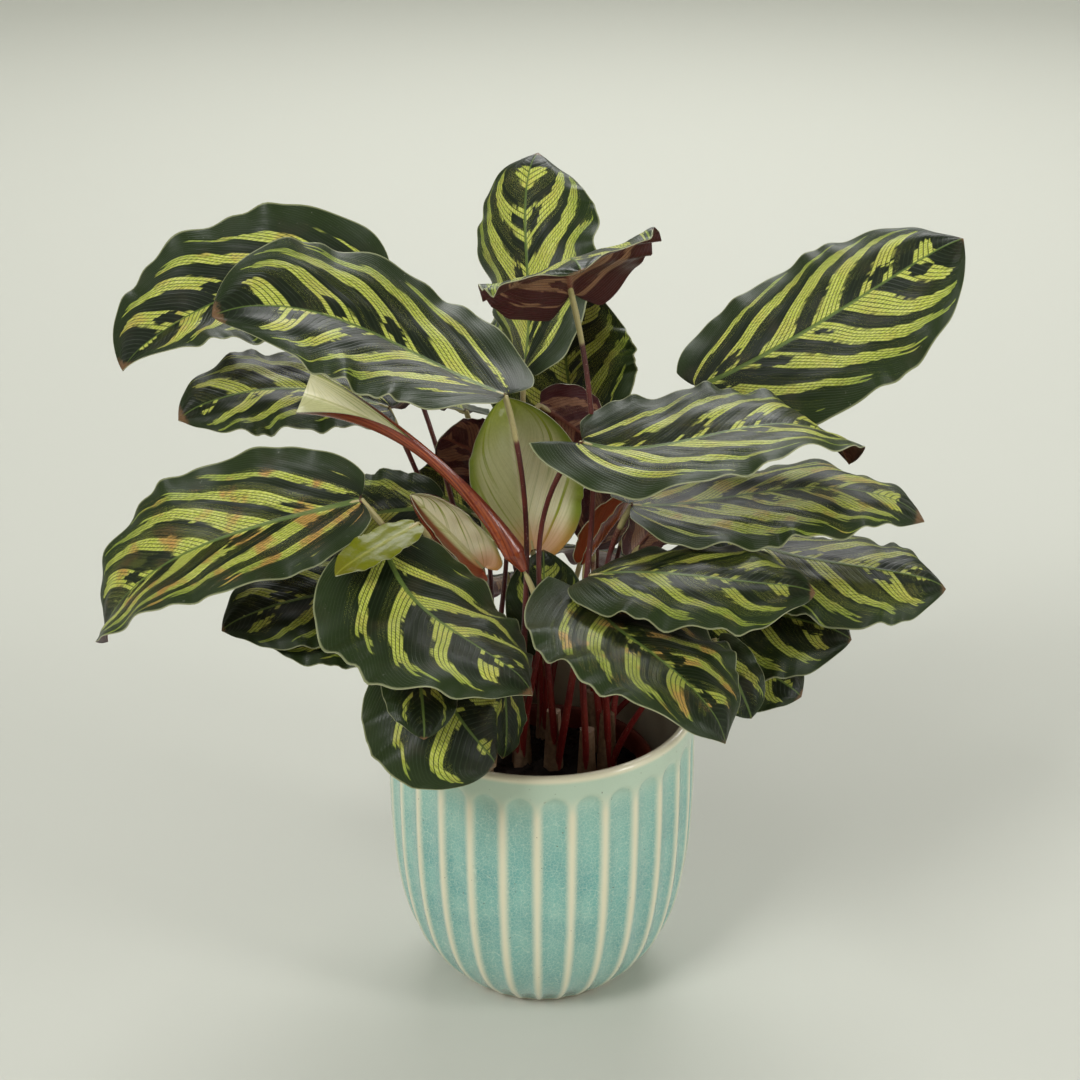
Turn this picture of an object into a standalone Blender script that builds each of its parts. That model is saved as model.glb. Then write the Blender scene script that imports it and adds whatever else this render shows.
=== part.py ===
"""A peacock plant (Calathea makoyana) in its plastic nursery pot, standing in a fluted ceramic pot.

Every leaf is one waved blade that stands on a stalk of its shoot. The shoots stand in holes in the soil.
The frame is metres with +Z up, and the origin is the middle of the pot's underside. The values below are
millimetres and degrees unless a comment says otherwise, and MM turns them into metres.
"""

import math
from collections import namedtuple

import bmesh
import bpy
from mathutils import Quaternion, Vector
from mathutils.bvhtree import BVHTree

MM = 0.001
WELD = 0.01
GAP = 0.3

# Ceramic pot: its outside and inside as radius and height, the outside from the lip down
POT_OUTSIDE = [(75, 147), (75, 139), (75.7, 104), (74.5, 67), (69, 37), (60, 18), (47, 4), (42, 0)]
POT_INSIDE = [(0, 8), (42, 8), (54, 18), (68.5, 67), (70, 147), (71.5, 149), (73.5, 149)]
POT_FLOOR = 8
POT_WALL = 5
RIBS = 29
STEPS_PER_RIB = 4
FRONT_RIB_ANGLE = -1.5
FLUTE_DEPTH = 1.8
FLUTE_BOTTOM = 3
FLUTE_TOP = 138

# Nursery pot and soil
NURSERY_RIM = 115
NURSERY_RIM_DEPTH = 8
NURSERY_RIM_RADIUS = 56
NURSERY_RADIUS = 54
NURSERY_BASE_RADIUS = 40
NURSERY_WALL = 1
SOIL_TOP = 108
SOIL_CROWN = 3
SOIL_CROWN_SHARE = 0.55
TURNED_STEPS = 32

# Stalks: the sheath that each shoot stands on, and the thin stalks that rise out of it
SHEATH_RADIUS = 5
SHEATH_TOP_RADIUS = 2.6
SHEATH_HEIGHT = 34
ROOT_DEPTH = 24
HOLE_CLEARANCE = 0.5
HOLE_SIDES = 12
STALK_RADIUS = 1.2
STALK_FOOT_RADIUS = 2.1
STALK_FOOT_POINTS = 3
STALK_POINTS = 7
STALK_RING = 2.3
STALK_HANDLE = 0.3

# The stalk's last direction: its parts straight to the blade, upright and along the midrib, and how far at
# the least it rises under the blade and runs ahead along it
ARRIVAL_STRAIGHT = 0.5
ARRIVAL_UPRIGHT = 0.5
ARRIVAL_ALONG = 0.35
LEAST_UNDER = 0.35
LEAST_AHEAD = 0.3

# Where the stalk's end is tested against the blade: points round it, at several places back from its end
SEAT_REACH = 6
SEAT_STEP = 0.05
SEAT_GAP = 0.45
SEAT_SIDES = 12
SEAT_BACK = (0, 1, 2, 3)

# Blades: the outline has a blunt base and a pointed tip, and the edge is waved
BLADE_THICKNESS = 0.8
BASE_HALF_WIDTH = 1.8
OUTLINE_POWER = 2.5
BASE_BLUNTNESS = 0.40
TIP_BLUNTNESS = 0.85
WAVE = 2.5
WAVES = 3.5
WAVE_SHIFT_PER_LEAF = 2.4
WAVE_SHIFT_PER_SIDE = 1.1
FULL_WAVE_WIDTH = 70
TWIST_START = 0.35
LEAST_TURN = 0.001
LOBE_START = 0.15
LOBE_FADE = 5
BLADE_ROWS = ((95, 13), (60, 10), (0, 8))
BLADE_COLUMNS = 4

# The one leaf that is still a scroll: its radius at the neck, and what the foot and the mouth add to it
SCROLL = (0, 0, 0)
SCROLL_NECK = 3.2
SCROLL_FOOT = 3
SCROLL_MOUTH = 10
SCROLL_TURNS = 1.25
SCROLL_OPEN_TURNS = 0.5
SCROLL_PITCH = 0.4
SCROLL_START = 0.25
SCROLL_START_LENGTH = 0.1
SCROLL_COLUMNS = 8

# Shoots: where each stands in the soil
SHOOTS = {
    "a": (-10, 4),
    "b": (6, 0),
    "c": (26, 20),
    "d": (-28, -8),
    "e": (22, -18),
    "f": (-26, 22),
    "g": (2, 30),
    "h": (32, -2),
}

# shoot: the shoot that the leaf grows from
# base, tip: the two ends of the midrib
# facing: where the upper face looks, as a compass angle, 0 to the front and 90 to the right, and an angle
#     above level
# width: the blade's full width
# arch: how far the midrib bends towards the upper face near the base and near the tip, and then sideways
# section: how steeply each half rises beside the midrib, and how far it turns down from there to its edge,
#     near the base and near the tip. A turn below 0 rolls it up
# twist: the blade's twist from base to tip
# rise: how far the stalk heads straight up from its shoot
# lobes: how far the blade's two lobes reach back past the stalk
# sway: how far the stalk's middle is bent aside to pass its neighbours
Leaf = namedtuple(
    "Leaf",
    "shoot base tip facing width arch section twist rise lobes sway",
    defaults=[(7, 7), (0, 0, 0)],
)
LEAVES = {
    # The large leaves round the crown, upper left to lower front
    "blade_01": Leaf("f", (-81, 80, 333), (-197, 28, 311), (5, 54), 85, (7, 0, 17), (20, 14, 14), 50, 96),
    "blade_02": Leaf("a", (-16, -22, 315), (-142, -27, 355), (0, 70), 88, (-17, 5, 24), (15, 18, 18), -15, 88),
    "blade_03": Leaf("f", (-73, 39, 286), (-171, 21, 288), (-5, 75), 63, (7, 10, 7), (11, 24, 24), -15, 72),
    "blade_04": Leaf("d", (-80, -42, 273), (-206, -25, 194), (5, 54), 71, (4, 29, 8), (23, 11, 11), 35, 80),
    "blade_05": Leaf(
        "d", (-69, -57, 259), (-2, -125, 223), (47, 44), 96, (-12, 7, 8), (2, 32, 32), -35, 64, (5, 5)
    ),
    "blade_06": Leaf("d", (-52, -62, 211), (-18, -96, 169), (20, 33), 82, (13, 13, 8), (-4, 38, 38), -20, 48),
    "blade_07": Leaf("g", (-9, 46, 303), (-2, 122, 391), (-40, 4), 74, (-5, 14, 2), (0, 36, 36), 50, 96),
    "blade_08": Leaf("c", (24, 64, 262), (23, 102, 328), (-19, 11), 84, (0, 4, -11), (22, 8, 8), -5, 88),
    "blade_09": Leaf(
        "b", (13, -10, 358), (15, -86, 394), (213, 53), 79, (12, 6, 0), (-8, -8, -14), 0, 120,
        (16, 16), (16, -18, 0),
    ),
    "blade_10": Leaf("c", (74, 42, 295), (200, 66, 363), (-7, 50), 87, (-4, 7, 3), (1, 34, 34), -7, 88),
    "blade_11": Leaf(
        "b", (18, -33, 297), (142, -11, 280), (-2, 78), 78, (-6, 36, 7), (14, 21, 21), -36, 80, (4, 26)
    ),
    "blade_12": Leaf("h", (41, -22, 262), (178, -13, 252), (0, 88), 83, (-6, 17, -10), (4, 24, 24), 0, 72),
    "blade_13": Leaf(
        "c", (91, 22, 228), (192, -7, 214), (7, 77), 71, (-3, 8, 7), (1, 35, 35), 12, 96,
        (7, 7), (-8, 0, 30),
    ),
    "blade_14": Leaf("e", (22, -42, 236), (119, -73, 245), (5, 84), 71, (9, 3, 6), (6, 25, 25), 13, 56),
    "blade_15": Leaf(
        "e", (21, -48, 229), (78, -137, 206), (37, 44), 83, (0, 19, 7), (9, 25, 25), -22, 40, (8, 22)
    ),
    # The lower leaves at the left and the right
    "blade_16": Leaf("f", (-50, 9, 247), (-106, 16, 231), (0, 55), 50, (4, 8, 0), (8, 25, 25), 0, 56),
    "blade_17": Leaf("f", (-62, -8, 212), (-148, -34, 205), (0, 60), 54, (4, 6, 4), (8, 25, 25), 0, 40),
    "blade_18": Leaf("d", (-60, -18, 196), (-134, -26, 201), (0, 60), 46, (4, 6, 0), (8, 25, 25), 0, 32),
    "blade_19": Leaf(
        "d", (-56, -74, 218), (-50, -112, 192), (20, 40), 34, (2, 4, 0), (5, 25, 25), 0, 88,
        (7, 7), (0, 10, 14),
    ),
    "blade_20": Leaf("a", (-20, -35, 194), (-17, -62, 152), (55, 20), 28, (2, 3, 0), (10, 20, 20), 0, 24),
    "blade_21": Leaf("h", (51, 12, 199), (149, -8, 187), (0, 60), 74, (4, 8, 0), (6, 25, 25), 0, 40),
    "blade_22": Leaf("c", (78, 20, 171), (126, -10, 156), (0, 50), 48, (4, 6, 0), (6, 25, 25), 0, 24),
    "blade_23": Leaf("h", (80, -40, 202), (96, -60, 172), (10, 30), 26, (2, 4, 0), (10, 20, 20), 0, 16),
    # The small leaves in the middle, seen between the large ones
    "blade_24": Leaf("g", (2, 8, 171), (1, 13, 223), (0, 5), 38, (4, 4, 0), (10, 25, 25), 0, 16),
    "blade_25": Leaf(
        "d", (-55, -45, 263), (-88, -85, 257), (0, 74), 20, (0, 2, 0), (4, 4, 4), 0, 48,
        (3, 3), (0, 20, 9),
    ),
    "blade_26": Leaf("f", (-20, 42, 254), (-49, 32, 274), (165, -10), 34, (2, 4, 0), (10, 20, 20), 0, 64),
    "blade_27": Leaf("g", (-1, 48, 284), (27, 43, 265), (180, -5), 38, (2, 3, 0), (6, 15, 15), 0, 72),
    "blade_28": Leaf("c", (25, 36, 218), (40, 42, 242), (170, 20), 34, (2, 4, 0), (10, -20, -20), 0, 32),
    "blade_29": Leaf("c", (42, 4, 224), (64, 16, 242), (170, 30), 30, (2, 4, 0), (10, 20, 20), 0, 48),
    "blade_30": Leaf("f", (-30, 58, 219), (-72, 86, 227), (0, 60), 44, (3, 6, 0), (10, 20, 20), 0, 48),
    # The leaves at the back
    "blade_31": Leaf("g", (-38, 90, 265), (-98, 136, 248), (185, 60), 66, (3, 8, 0), (10, 20, 20), 0, 80),
    "blade_32": Leaf("f", (-45, 72, 215), (-92, 148, 166), (210, 50), 66, (4, 10, 3), (8, 25, 25), 10, 48),
    "blade_33": Leaf("g", (8, 102, 226), (16, 182, 200), (180, 60), 74, (4, 10, -3), (8, 25, 25), -10, 64),
    "blade_34": Leaf("c", (46, 68, 222), (108, 132, 186), (150, 55), 68, (4, 10, 3), (8, 25, 25), 10, 56),
    "blade_35": Leaf("f", (-62, 48, 190), (-136, 92, 160), (230, 60), 60, (4, 9, 0), (8, 25, 25), 0, 32),
    "blade_36": Leaf("g", (22, 82, 192), (50, 152, 140), (165, 50), 64, (4, 9, 0), (8, 25, 25), 5, 40),
    "blade_37": Leaf("g", (-18, 76, 180), (-44, 138, 128), (200, 50), 62, (4, 9, 0), (8, 25, 25), -5, 32),
    "blade_38": Leaf("c", (66, 48, 182), (132, 84, 158), (120, 60), 60, (4, 9, 0), (8, 25, 25), 0, 32),
    # The young leaves, rolled or just opening
    "new_leaf_01": Leaf("g", (-4, 20, 220), (-17, 34, 293), (12, 0), 72, (-6, 2, 0), (22, -50, -30), 0, 48),
    "new_leaf_02": Leaf("f", (-28, 2, 219), (-61, 1, 257), (15, 25), 46, (2, 4, 0), (22, -80, -90), 0, 48),
    "new_leaf_03": Leaf("h", (21, 4, 222), (43, 14, 250), (-30, 30), 32, (2, 3, 0), (30, -90, -90), 0, 48),
    "new_leaf_04": Leaf("a", (-8, -26, 231), (-104, -24, 320), (20, 40), 40, (7, 10, 9), SCROLL, 0, 48),
}

# Colours as linear red, green and blue
CELADON = (0.45, 0.62, 0.58)
PLASTIC = (0.3, 0.1, 0.06)
EARTH = (0.02, 0.015, 0.01)
STALK_RED = (0.22, 0.04, 0.05)
LEAF_GREEN = (0.05, 0.12, 0.04)
YOUNG_GREEN = (0.36, 0.42, 0.12)


def material(name, colour, roughness):
    """A plain Principled material."""
    made = bpy.data.materials.new(name)
    made.use_nodes = True
    shader = made.node_tree.nodes["Principled BSDF"]
    shader.inputs["Base Color"].default_value = (*colour, 1)
    shader.inputs["Roughness"].default_value = roughness
    return made


def add_object(name, mesh, collection, colour, roughness):
    """A named object of this mesh with its own material."""
    made = bpy.data.objects.new(name, mesh)
    mesh.materials.clear()
    mesh.materials.append(material(name, colour, roughness))
    collection.objects.link(made)
    return made


def evaluated_mesh(made):
    """The object's mesh with its modifiers applied."""
    bpy.context.view_layer.update()
    graph = bpy.context.evaluated_depsgraph_get()
    return bpy.data.meshes.new_from_object(made.evaluated_get(graph))


def apply_modifiers(made):
    """Keeps the evaluated mesh and drops the modifiers."""
    mesh = evaluated_mesh(made)
    made.modifiers.clear()
    made.data = mesh


def unit_from_angles(compass, above_level):
    """The direction that looks to the front at compass angle 0 and to the right at 90."""
    level = math.cos(math.radians(above_level))
    x = math.sin(math.radians(compass)) * level
    y = -math.cos(math.radians(compass)) * level
    return Vector((x, y, math.sin(math.radians(above_level))))


def bezier(points, s):
    """The place and the direction at s on a cubic Bezier curve."""
    p0, p1, p2, p3 = points
    r = 1 - s
    place = p0 * r**3 + p1 * (3 * r * r * s) + p2 * (3 * r * s * s) + p3 * s**3
    slope = (p1 - p0) * (r * r) + (p2 - p1) * (2 * r * s) + (p3 - p2) * (s * s)
    return place, slope.normalized()


def midrib_controls(leaf):
    """The midrib's Bezier points, and the face direction square to its chord."""
    base = Vector(leaf.base)
    tip = Vector(leaf.tip)
    chord = (tip - base).normalized()
    face = unit_from_angles(*leaf.facing)
    face = (face - chord * face.dot(chord)).normalized()
    side = chord.cross(face)
    near, far, bow = leaf.arch
    step = (tip - base) / 3
    lift_near = (face * near + side * bow) * 4 / 3
    lift_far = (face * far + side * bow) * 4 / 3
    return (base, base + step + lift_near, base + step * 2 + lift_far, tip), face


def blade_frame(leaf, s):
    """At s along the midrib: the place, the direction along it, the upper face's normal, and across."""
    controls, face = midrib_controls(leaf)
    place, along = bezier(controls, s)
    normal = (face - along * face.dot(along)).normalized()
    across = along.cross(normal)
    turn = math.radians(leaf.twist) * (s - TWIST_START)
    turned_normal = normal * math.cos(turn) + across * math.sin(turn)
    turned_across = across * math.cos(turn) - normal * math.sin(turn)
    return place, along, turned_normal, turned_across


def half_width(leaf, s):
    """Half the blade's width at s along the midrib, from a blunt base to a pointed tip."""
    power = BASE_BLUNTNESS if s < 0.5 else TIP_BLUNTNESS
    share = max(0.0, 1 - abs(2 * s - 1) ** OUTLINE_POWER) ** power
    half = share * leaf.width / 2
    return max(half, BASE_HALF_WIDTH) if s < 0.5 else half


def section_offset(leaf, s, edge, half):
    """How far out and how far up the section lies at edge, the share of the way from midrib to edge."""
    rise, turn_base, turn_tip = (math.radians(angle) for angle in leaf.section)
    bend = -(turn_base + (turn_tip - turn_base) * s)
    if abs(bend) < LEAST_TURN:
        bend = LEAST_TURN
    end = rise + bend * edge
    out = half * (math.sin(end) - math.sin(rise)) / bend
    up = half * (math.cos(rise) - math.cos(end)) / bend
    return out, up


def wave_height(leaf, number, s, edge, side):
    """The waved edge: how far it lifts the blade at this place."""
    size = min(1, leaf.width / FULL_WAVE_WIDTH)
    phase = number * WAVE_SHIFT_PER_LEAF + side * WAVE_SHIFT_PER_SIDE
    height = size * WAVE * math.sqrt(math.sin(math.pi * s))
    return height * edge**2 * math.sin(2 * math.pi * WAVES * s + phase)


def lobe_reach(leaf, s, edge, side, half):
    """How far the lobes beside the stalk reach back past it."""
    if half <= BASE_HALF_WIDTH:
        return 0
    lobe = leaf.lobes[0 if side < 0 else 1] * min(1, leaf.width / FULL_WAVE_WIDTH)
    grown = min(1, half / (LOBE_START * leaf.width))
    return lobe * grown * edge**1.5 * (1 - s) ** LOBE_FADE


def scroll_offset(s, t, normal, across):
    """From the middle line to a leaf that is still rolled up, and opens at its far end."""
    widening = SCROLL_FOOT if s < 0.5 else SCROLL_MOUTH
    radius = SCROLL_NECK + widening * (1 - 2 * s) ** 2
    radius *= min(1, SCROLL_START + s / SCROLL_START_LENGTH)
    radius *= 1 - SCROLL_PITCH * (t + 1) / 2
    turns = SCROLL_TURNS + (SCROLL_OPEN_TURNS - SCROLL_TURNS) * s * s
    angle = math.pi * turns * t
    return across * (radius * math.sin(angle)) - normal * (radius * math.cos(angle))


def blade_point(leaf, number, s, t):
    """The blade's middle surface at s along the midrib, 0 to 1, and t across it, -1 to 1."""
    place, along, normal, across = blade_frame(leaf, s)
    if leaf.section == SCROLL:
        return place + scroll_offset(s, t, normal, across)
    edge = abs(t)
    side = math.copysign(1, t)
    half = half_width(leaf, s)
    out, up = section_offset(leaf, s, edge, half)
    up += wave_height(leaf, number, s, edge, side)
    back = lobe_reach(leaf, s, edge, side, half)
    return place + across * (out * side) + normal * up - along * back


def blade_mesh(name, leaf, number):
    """The open middle surface of a blade, split into triangles."""
    length = (Vector(leaf.tip) - Vector(leaf.base)).length
    rows = next(rows for least, rows in BLADE_ROWS if length > least)
    columns = SCROLL_COLUMNS if leaf.section == SCROLL else BLADE_COLUMNS
    shape = bmesh.new()
    bmesh.ops.create_grid(shape, x_segments=rows, y_segments=columns, size=1)
    for vert in shape.verts:
        s = (1 - math.cos(math.pi * (vert.co.x + 1) / 2)) / 2
        vert.co = blade_point(leaf, number, min(max(s, 0), 1), vert.co.y) * MM
    bmesh.ops.remove_doubles(shape, verts=shape.verts, dist=WELD * MM)
    bmesh.ops.triangulate(shape, faces=shape.faces)
    mesh = bpy.data.meshes.new(name)
    shape.to_mesh(mesh)
    shape.free()
    mesh.shade_smooth()
    return mesh


def make_blade(name, leaf, number, collection):
    """One leaf blade: the waved surface with a thickness."""
    colour = YOUNG_GREEN if name.startswith("new") else LEAF_GREEN
    blade = add_object(name, blade_mesh(name, leaf, number), collection, colour, 0.4)
    skin = blade.modifiers.new("Thickness", "SOLIDIFY")
    skin.thickness = BLADE_THICKNESS * MM
    skin.offset = 0
    return blade


def clearance(surface, end, arrival):
    """How near the last stretch of a stalk comes to the blade's surface."""
    arm = arrival.orthogonal().normalized() * STALK_RADIUS
    nearest = SEAT_REACH
    for number in range(SEAT_SIDES):
        side = Quaternion(arrival, 2 * math.pi * number / SEAT_SIDES) @ arm
        for back in SEAT_BACK:
            found = surface.find_nearest((end - arrival * back + side) * MM)
            nearest = min(nearest, found[3] / MM)
    return nearest


def stalk_end(leaf, foot, surface):
    """Where the stalk stops, a gap short of the blade, and the direction that it arrives in."""
    base, along, normal, _ = blade_frame(leaf, 0)
    arrival = (base - foot).normalized() * ARRIVAL_STRAIGHT + Vector((0, 0, ARRIVAL_UPRIGHT))
    arrival += along * ARRIVAL_ALONG
    arrival += normal * max(0, LEAST_UNDER - arrival.dot(normal))
    arrival += along * max(0, LEAST_AHEAD - arrival.dot(along))
    if leaf.section == SCROLL:
        arrival = along.copy()
    arrival.normalize()
    back = SEAT_REACH
    while clearance(surface, base - arrival * (back - SEAT_STEP), arrival) > SEAT_GAP:
        back -= SEAT_STEP
    return base - arrival * back, arrival


def stalk_path(leaf, foot, surface):
    """The stalk's middle line, from the soil to the blade."""
    end, arrival = stalk_end(leaf, foot, surface)
    handle = STALK_HANDLE * (end - foot).length
    sway = Vector(leaf.sway)
    points = (foot, foot + Vector((0, 0, leaf.rise)) + sway, end - arrival * handle + sway, end)
    return [bezier(points, i / (STALK_POINTS - 1))[0] for i in range(STALK_POINTS)]


def tube(name, points, radii):
    """A mesh tube through these points, its caps welded on."""
    curve = bpy.data.curves.new(name, "CURVE")
    curve.dimensions = "3D"
    curve.bevel_depth = MM
    curve.bevel_resolution = 1
    curve.use_fill_caps = True
    line = curve.splines.new("POLY")
    line.points.add(len(points) - 1)
    for place, target, radius in zip(points, line.points, radii):
        target.co = (*(place * MM), 1)
        target.radius = radius
    guide = bpy.data.objects.new(name, curve)
    bpy.context.scene.collection.objects.link(guide)
    mesh = evaluated_mesh(guide)
    bpy.data.objects.remove(guide)
    shape = bmesh.new()
    shape.from_mesh(mesh)
    bmesh.ops.remove_doubles(shape, verts=shape.verts, dist=WELD * MM)
    bmesh.ops.recalc_face_normals(shape, faces=shape.faces)
    shape.to_mesh(mesh)
    shape.free()
    return mesh


def fuse(body, pieces):
    """Joins the pieces to the body with one Boolean union, and removes them."""
    helpers = bpy.data.collections.new(body.name + " pieces")
    bpy.context.scene.collection.children.link(helpers)
    for number, mesh in enumerate(pieces):
        helpers.objects.link(bpy.data.objects.new(f"{body.name} piece {number}", mesh))
    union = body.modifiers.new("Union", "BOOLEAN")
    union.operation = "UNION"
    union.operand_type = "COLLECTION"
    union.collection = helpers
    union.solver = "EXACT"
    apply_modifiers(body)
    for helper in list(helpers.objects):
        bpy.data.objects.remove(helper)
    bpy.data.collections.remove(helpers)


def make_shoot(name, place, leaves, collection):
    """A sheathed foot in the soil with one stalk for each of its leaves, which come with their surfaces."""
    heights = (SOIL_TOP - ROOT_DEPTH, SOIL_TOP, SOIL_TOP + SHEATH_HEIGHT)
    line = [Vector((*place, height)) for height in heights]
    sheath = tube(name, line, [SHEATH_RADIUS, SHEATH_RADIUS, SHEATH_TOP_RADIUS])
    shoot = add_object(name, sheath, collection, STALK_RED, 0.45)
    stalks = []
    for leaf, surface in leaves:
        outward = Vector(leaf.base) - line[1]
        outward.z = 0
        path = stalk_path(leaf, line[1] + outward.normalized() * STALK_RING, surface)
        slimming = (STALK_RADIUS - STALK_FOOT_RADIUS) / STALK_FOOT_POINTS
        radii = [STALK_FOOT_RADIUS + slimming * min(STALK_FOOT_POINTS, i) for i in range(STALK_POINTS)]
        stalks.append(tube(name, path, radii))
    fuse(shoot, stalks)
    return shoot


def screw_object(name, profile, steps, collection, colour, roughness):
    """A turned solid: the profile lists radius and height from the axis to the axis."""
    mesh = bpy.data.meshes.new(name)
    edges = [(i, i + 1) for i in range(len(profile) - 1)]
    mesh.from_pydata([(radius * MM, 0, height * MM) for radius, height in profile], edges, [])
    made = add_object(name, mesh, collection, colour, roughness)
    turn = made.modifiers.new("Turn", "SCREW")
    turn.steps = turn.render_steps = steps
    turn.use_merge_vertices = True
    turn.merge_threshold = WELD * MM
    return made


def flute_depth(angle, height):
    """How far the outside lies within the ribs' crests, with a rib at angle 0."""
    if not FLUTE_BOTTOM < height < FLUTE_TOP:
        return 0
    turns = angle / (2 * math.pi) * RIBS
    share = 2 * min(turns % 1, 1 - turns % 1)
    return FLUTE_DEPTH * (1 - (1 - share) ** 2)


def wall_middle(height):
    """A radius between the pot's outer and inner wall at this height."""
    for (upper_radius, upper), (lower_radius, lower) in zip(POT_OUTSIDE, POT_OUTSIDE[1:]):
        if lower <= height <= upper:
            share = (height - lower) / (upper - lower)
            return lower_radius + (upper_radius - lower_radius) * share - POT_WALL / 2
    return POT_OUTSIDE[0][0]


def make_pot(collection):
    """The ceramic pot: a turned wall with concave flutes between narrow ribs."""
    profile = [*POT_INSIDE, *POT_OUTSIDE, (0, 0)]
    pot = screw_object("pot", profile, RIBS * STEPS_PER_RIB, collection, CELADON, 0.2)
    apply_modifiers(pot)
    pot.rotation_euler.z = math.radians(FRONT_RIB_ANGLE - 90)
    for vert in pot.data.vertices:
        radius = math.hypot(vert.co.x, vert.co.y)
        height = vert.co.z / MM
        if radius > wall_middle(height) * MM:
            depth = flute_depth(math.atan2(vert.co.y, vert.co.x), height) * MM
            vert.co.x *= 1 - depth / radius
            vert.co.y *= 1 - depth / radius
    pot.data.shade_smooth()
    return pot


def make_nursery_pot(collection):
    """The thin plastic pot that holds the soil, with a folded rim."""
    floor = POT_FLOOR + GAP
    fold = NURSERY_RIM - NURSERY_RIM_DEPTH
    profile = [
        (0, floor + NURSERY_WALL),
        (NURSERY_BASE_RADIUS - NURSERY_WALL, floor + NURSERY_WALL),
        (NURSERY_RADIUS - NURSERY_WALL, NURSERY_RIM),
        (NURSERY_RIM_RADIUS, NURSERY_RIM),
        (NURSERY_RIM_RADIUS, fold),
        (NURSERY_RADIUS - GAP, fold),
        (NURSERY_BASE_RADIUS, floor),
        (0, floor),
    ]
    return screw_object("nursery_pot", profile, TURNED_STEPS, collection, PLASTIC, 0.6)


def make_hole(name, place, helpers):
    """The cutter for the hole that one shoot stands in."""
    bottom = SOIL_TOP - ROOT_DEPTH - GAP
    top = SOIL_TOP + ROOT_DEPTH
    radius = (SHEATH_RADIUS + HOLE_CLEARANCE) * MM
    shape = bmesh.new()
    bmesh.ops.create_cone(
        shape, cap_ends=True, segments=HOLE_SIDES, radius1=radius, radius2=radius, depth=(top - bottom) * MM
    )
    bmesh.ops.translate(shape, verts=shape.verts, vec=Vector((*place, (top + bottom) / 2)) * MM)
    mesh = bpy.data.meshes.new(name)
    shape.to_mesh(mesh)
    shape.free()
    cutter = bpy.data.objects.new(name, mesh)
    cutter.hide_render = True
    cutter.display_type = "WIRE"
    helpers.objects.link(cutter)
    return cutter


def make_soil(collection, helpers):
    """The soil: it fills the nursery pot, and each shoot has a plain hole in it."""
    floor = POT_FLOOR + 2 * GAP + NURSERY_WALL
    inner_base = NURSERY_BASE_RADIUS - NURSERY_WALL - 2 * GAP
    slope = (NURSERY_RADIUS - NURSERY_BASE_RADIUS) / (NURSERY_RIM - POT_FLOOR)
    inner_top = inner_base + slope * (SOIL_TOP - floor)
    profile = [
        (0, SOIL_TOP + SOIL_CROWN),
        (inner_top * SOIL_CROWN_SHARE, SOIL_TOP + SOIL_CROWN),
        (inner_top, SOIL_TOP - SOIL_CROWN),
        (inner_base, floor),
        (0, floor),
    ]
    soil = screw_object("soil", profile, TURNED_STEPS, collection, EARTH, 0.95)
    for letter, place in SHOOTS.items():
        cut = soil.modifiers.new("Hole " + letter, "BOOLEAN")
        cut.operation = "DIFFERENCE"
        cut.object = make_hole("hole_" + letter, place, helpers)
        cut.solver = "EXACT"
    return soil


def main():
    for existing in list(bpy.data.objects):
        bpy.data.objects.remove(existing, do_unlink=True)
    plant = bpy.data.collections.new("potted_peacock_plant")
    helpers = bpy.data.collections.new("cutters")
    bpy.context.scene.collection.children.link(plant)
    bpy.context.scene.collection.children.link(helpers)
    make_pot(plant)
    make_nursery_pot(plant)
    make_soil(plant, helpers)
    blades = [make_blade(name, leaf, number, plant) for number, (name, leaf) in enumerate(LEAVES.items())]
    bpy.context.view_layer.update()
    graph = bpy.context.evaluated_depsgraph_get()
    surfaces = [BVHTree.FromObject(blade, graph) for blade in blades]
    for letter, place in SHOOTS.items():
        leaves = [pair for pair in zip(LEAVES.values(), surfaces) if pair[0].shoot == letter]
        make_shoot("shoot_" + letter, place, leaves, plant)


main()
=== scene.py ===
"""The looks of a potted peacock plant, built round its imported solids.

Each leaf is built again on a finer grid from the values that its solid has, with its ribs, edge and markings.
The values are millimetres and degrees unless a comment says otherwise, and MM turns them into metres.
"""

import math
from collections import namedtuple
from functools import partialmethod
from itertools import combinations

import bpy
import numpy as np
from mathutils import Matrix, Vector, noise


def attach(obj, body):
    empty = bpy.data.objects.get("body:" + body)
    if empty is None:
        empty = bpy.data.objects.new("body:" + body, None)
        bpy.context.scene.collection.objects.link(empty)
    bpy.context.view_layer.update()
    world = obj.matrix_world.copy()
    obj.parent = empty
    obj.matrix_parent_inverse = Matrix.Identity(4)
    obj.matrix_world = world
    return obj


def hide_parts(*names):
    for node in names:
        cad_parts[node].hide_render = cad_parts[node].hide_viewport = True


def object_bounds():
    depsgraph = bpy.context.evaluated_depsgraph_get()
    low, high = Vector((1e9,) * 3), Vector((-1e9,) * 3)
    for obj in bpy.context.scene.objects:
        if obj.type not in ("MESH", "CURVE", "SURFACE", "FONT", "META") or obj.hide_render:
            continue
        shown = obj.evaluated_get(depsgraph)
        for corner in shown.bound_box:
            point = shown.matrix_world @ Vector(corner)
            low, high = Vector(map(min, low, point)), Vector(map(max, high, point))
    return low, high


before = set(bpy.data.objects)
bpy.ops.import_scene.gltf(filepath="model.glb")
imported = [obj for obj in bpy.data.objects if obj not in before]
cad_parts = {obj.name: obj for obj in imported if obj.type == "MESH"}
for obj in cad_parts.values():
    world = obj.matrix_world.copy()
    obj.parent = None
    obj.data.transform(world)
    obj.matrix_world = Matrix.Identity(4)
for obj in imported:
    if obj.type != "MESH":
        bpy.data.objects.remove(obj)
CAD_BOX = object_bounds()

MM = 0.001
BODY = "root"

# Camera, at the photo's place and angle, its place in metres
CAMERA_PLACE = (-0.00067, -0.8387, 0.6191)
CAMERA_DOWN = 24.65
LENS = 65.37
SENSOR = 36

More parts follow.
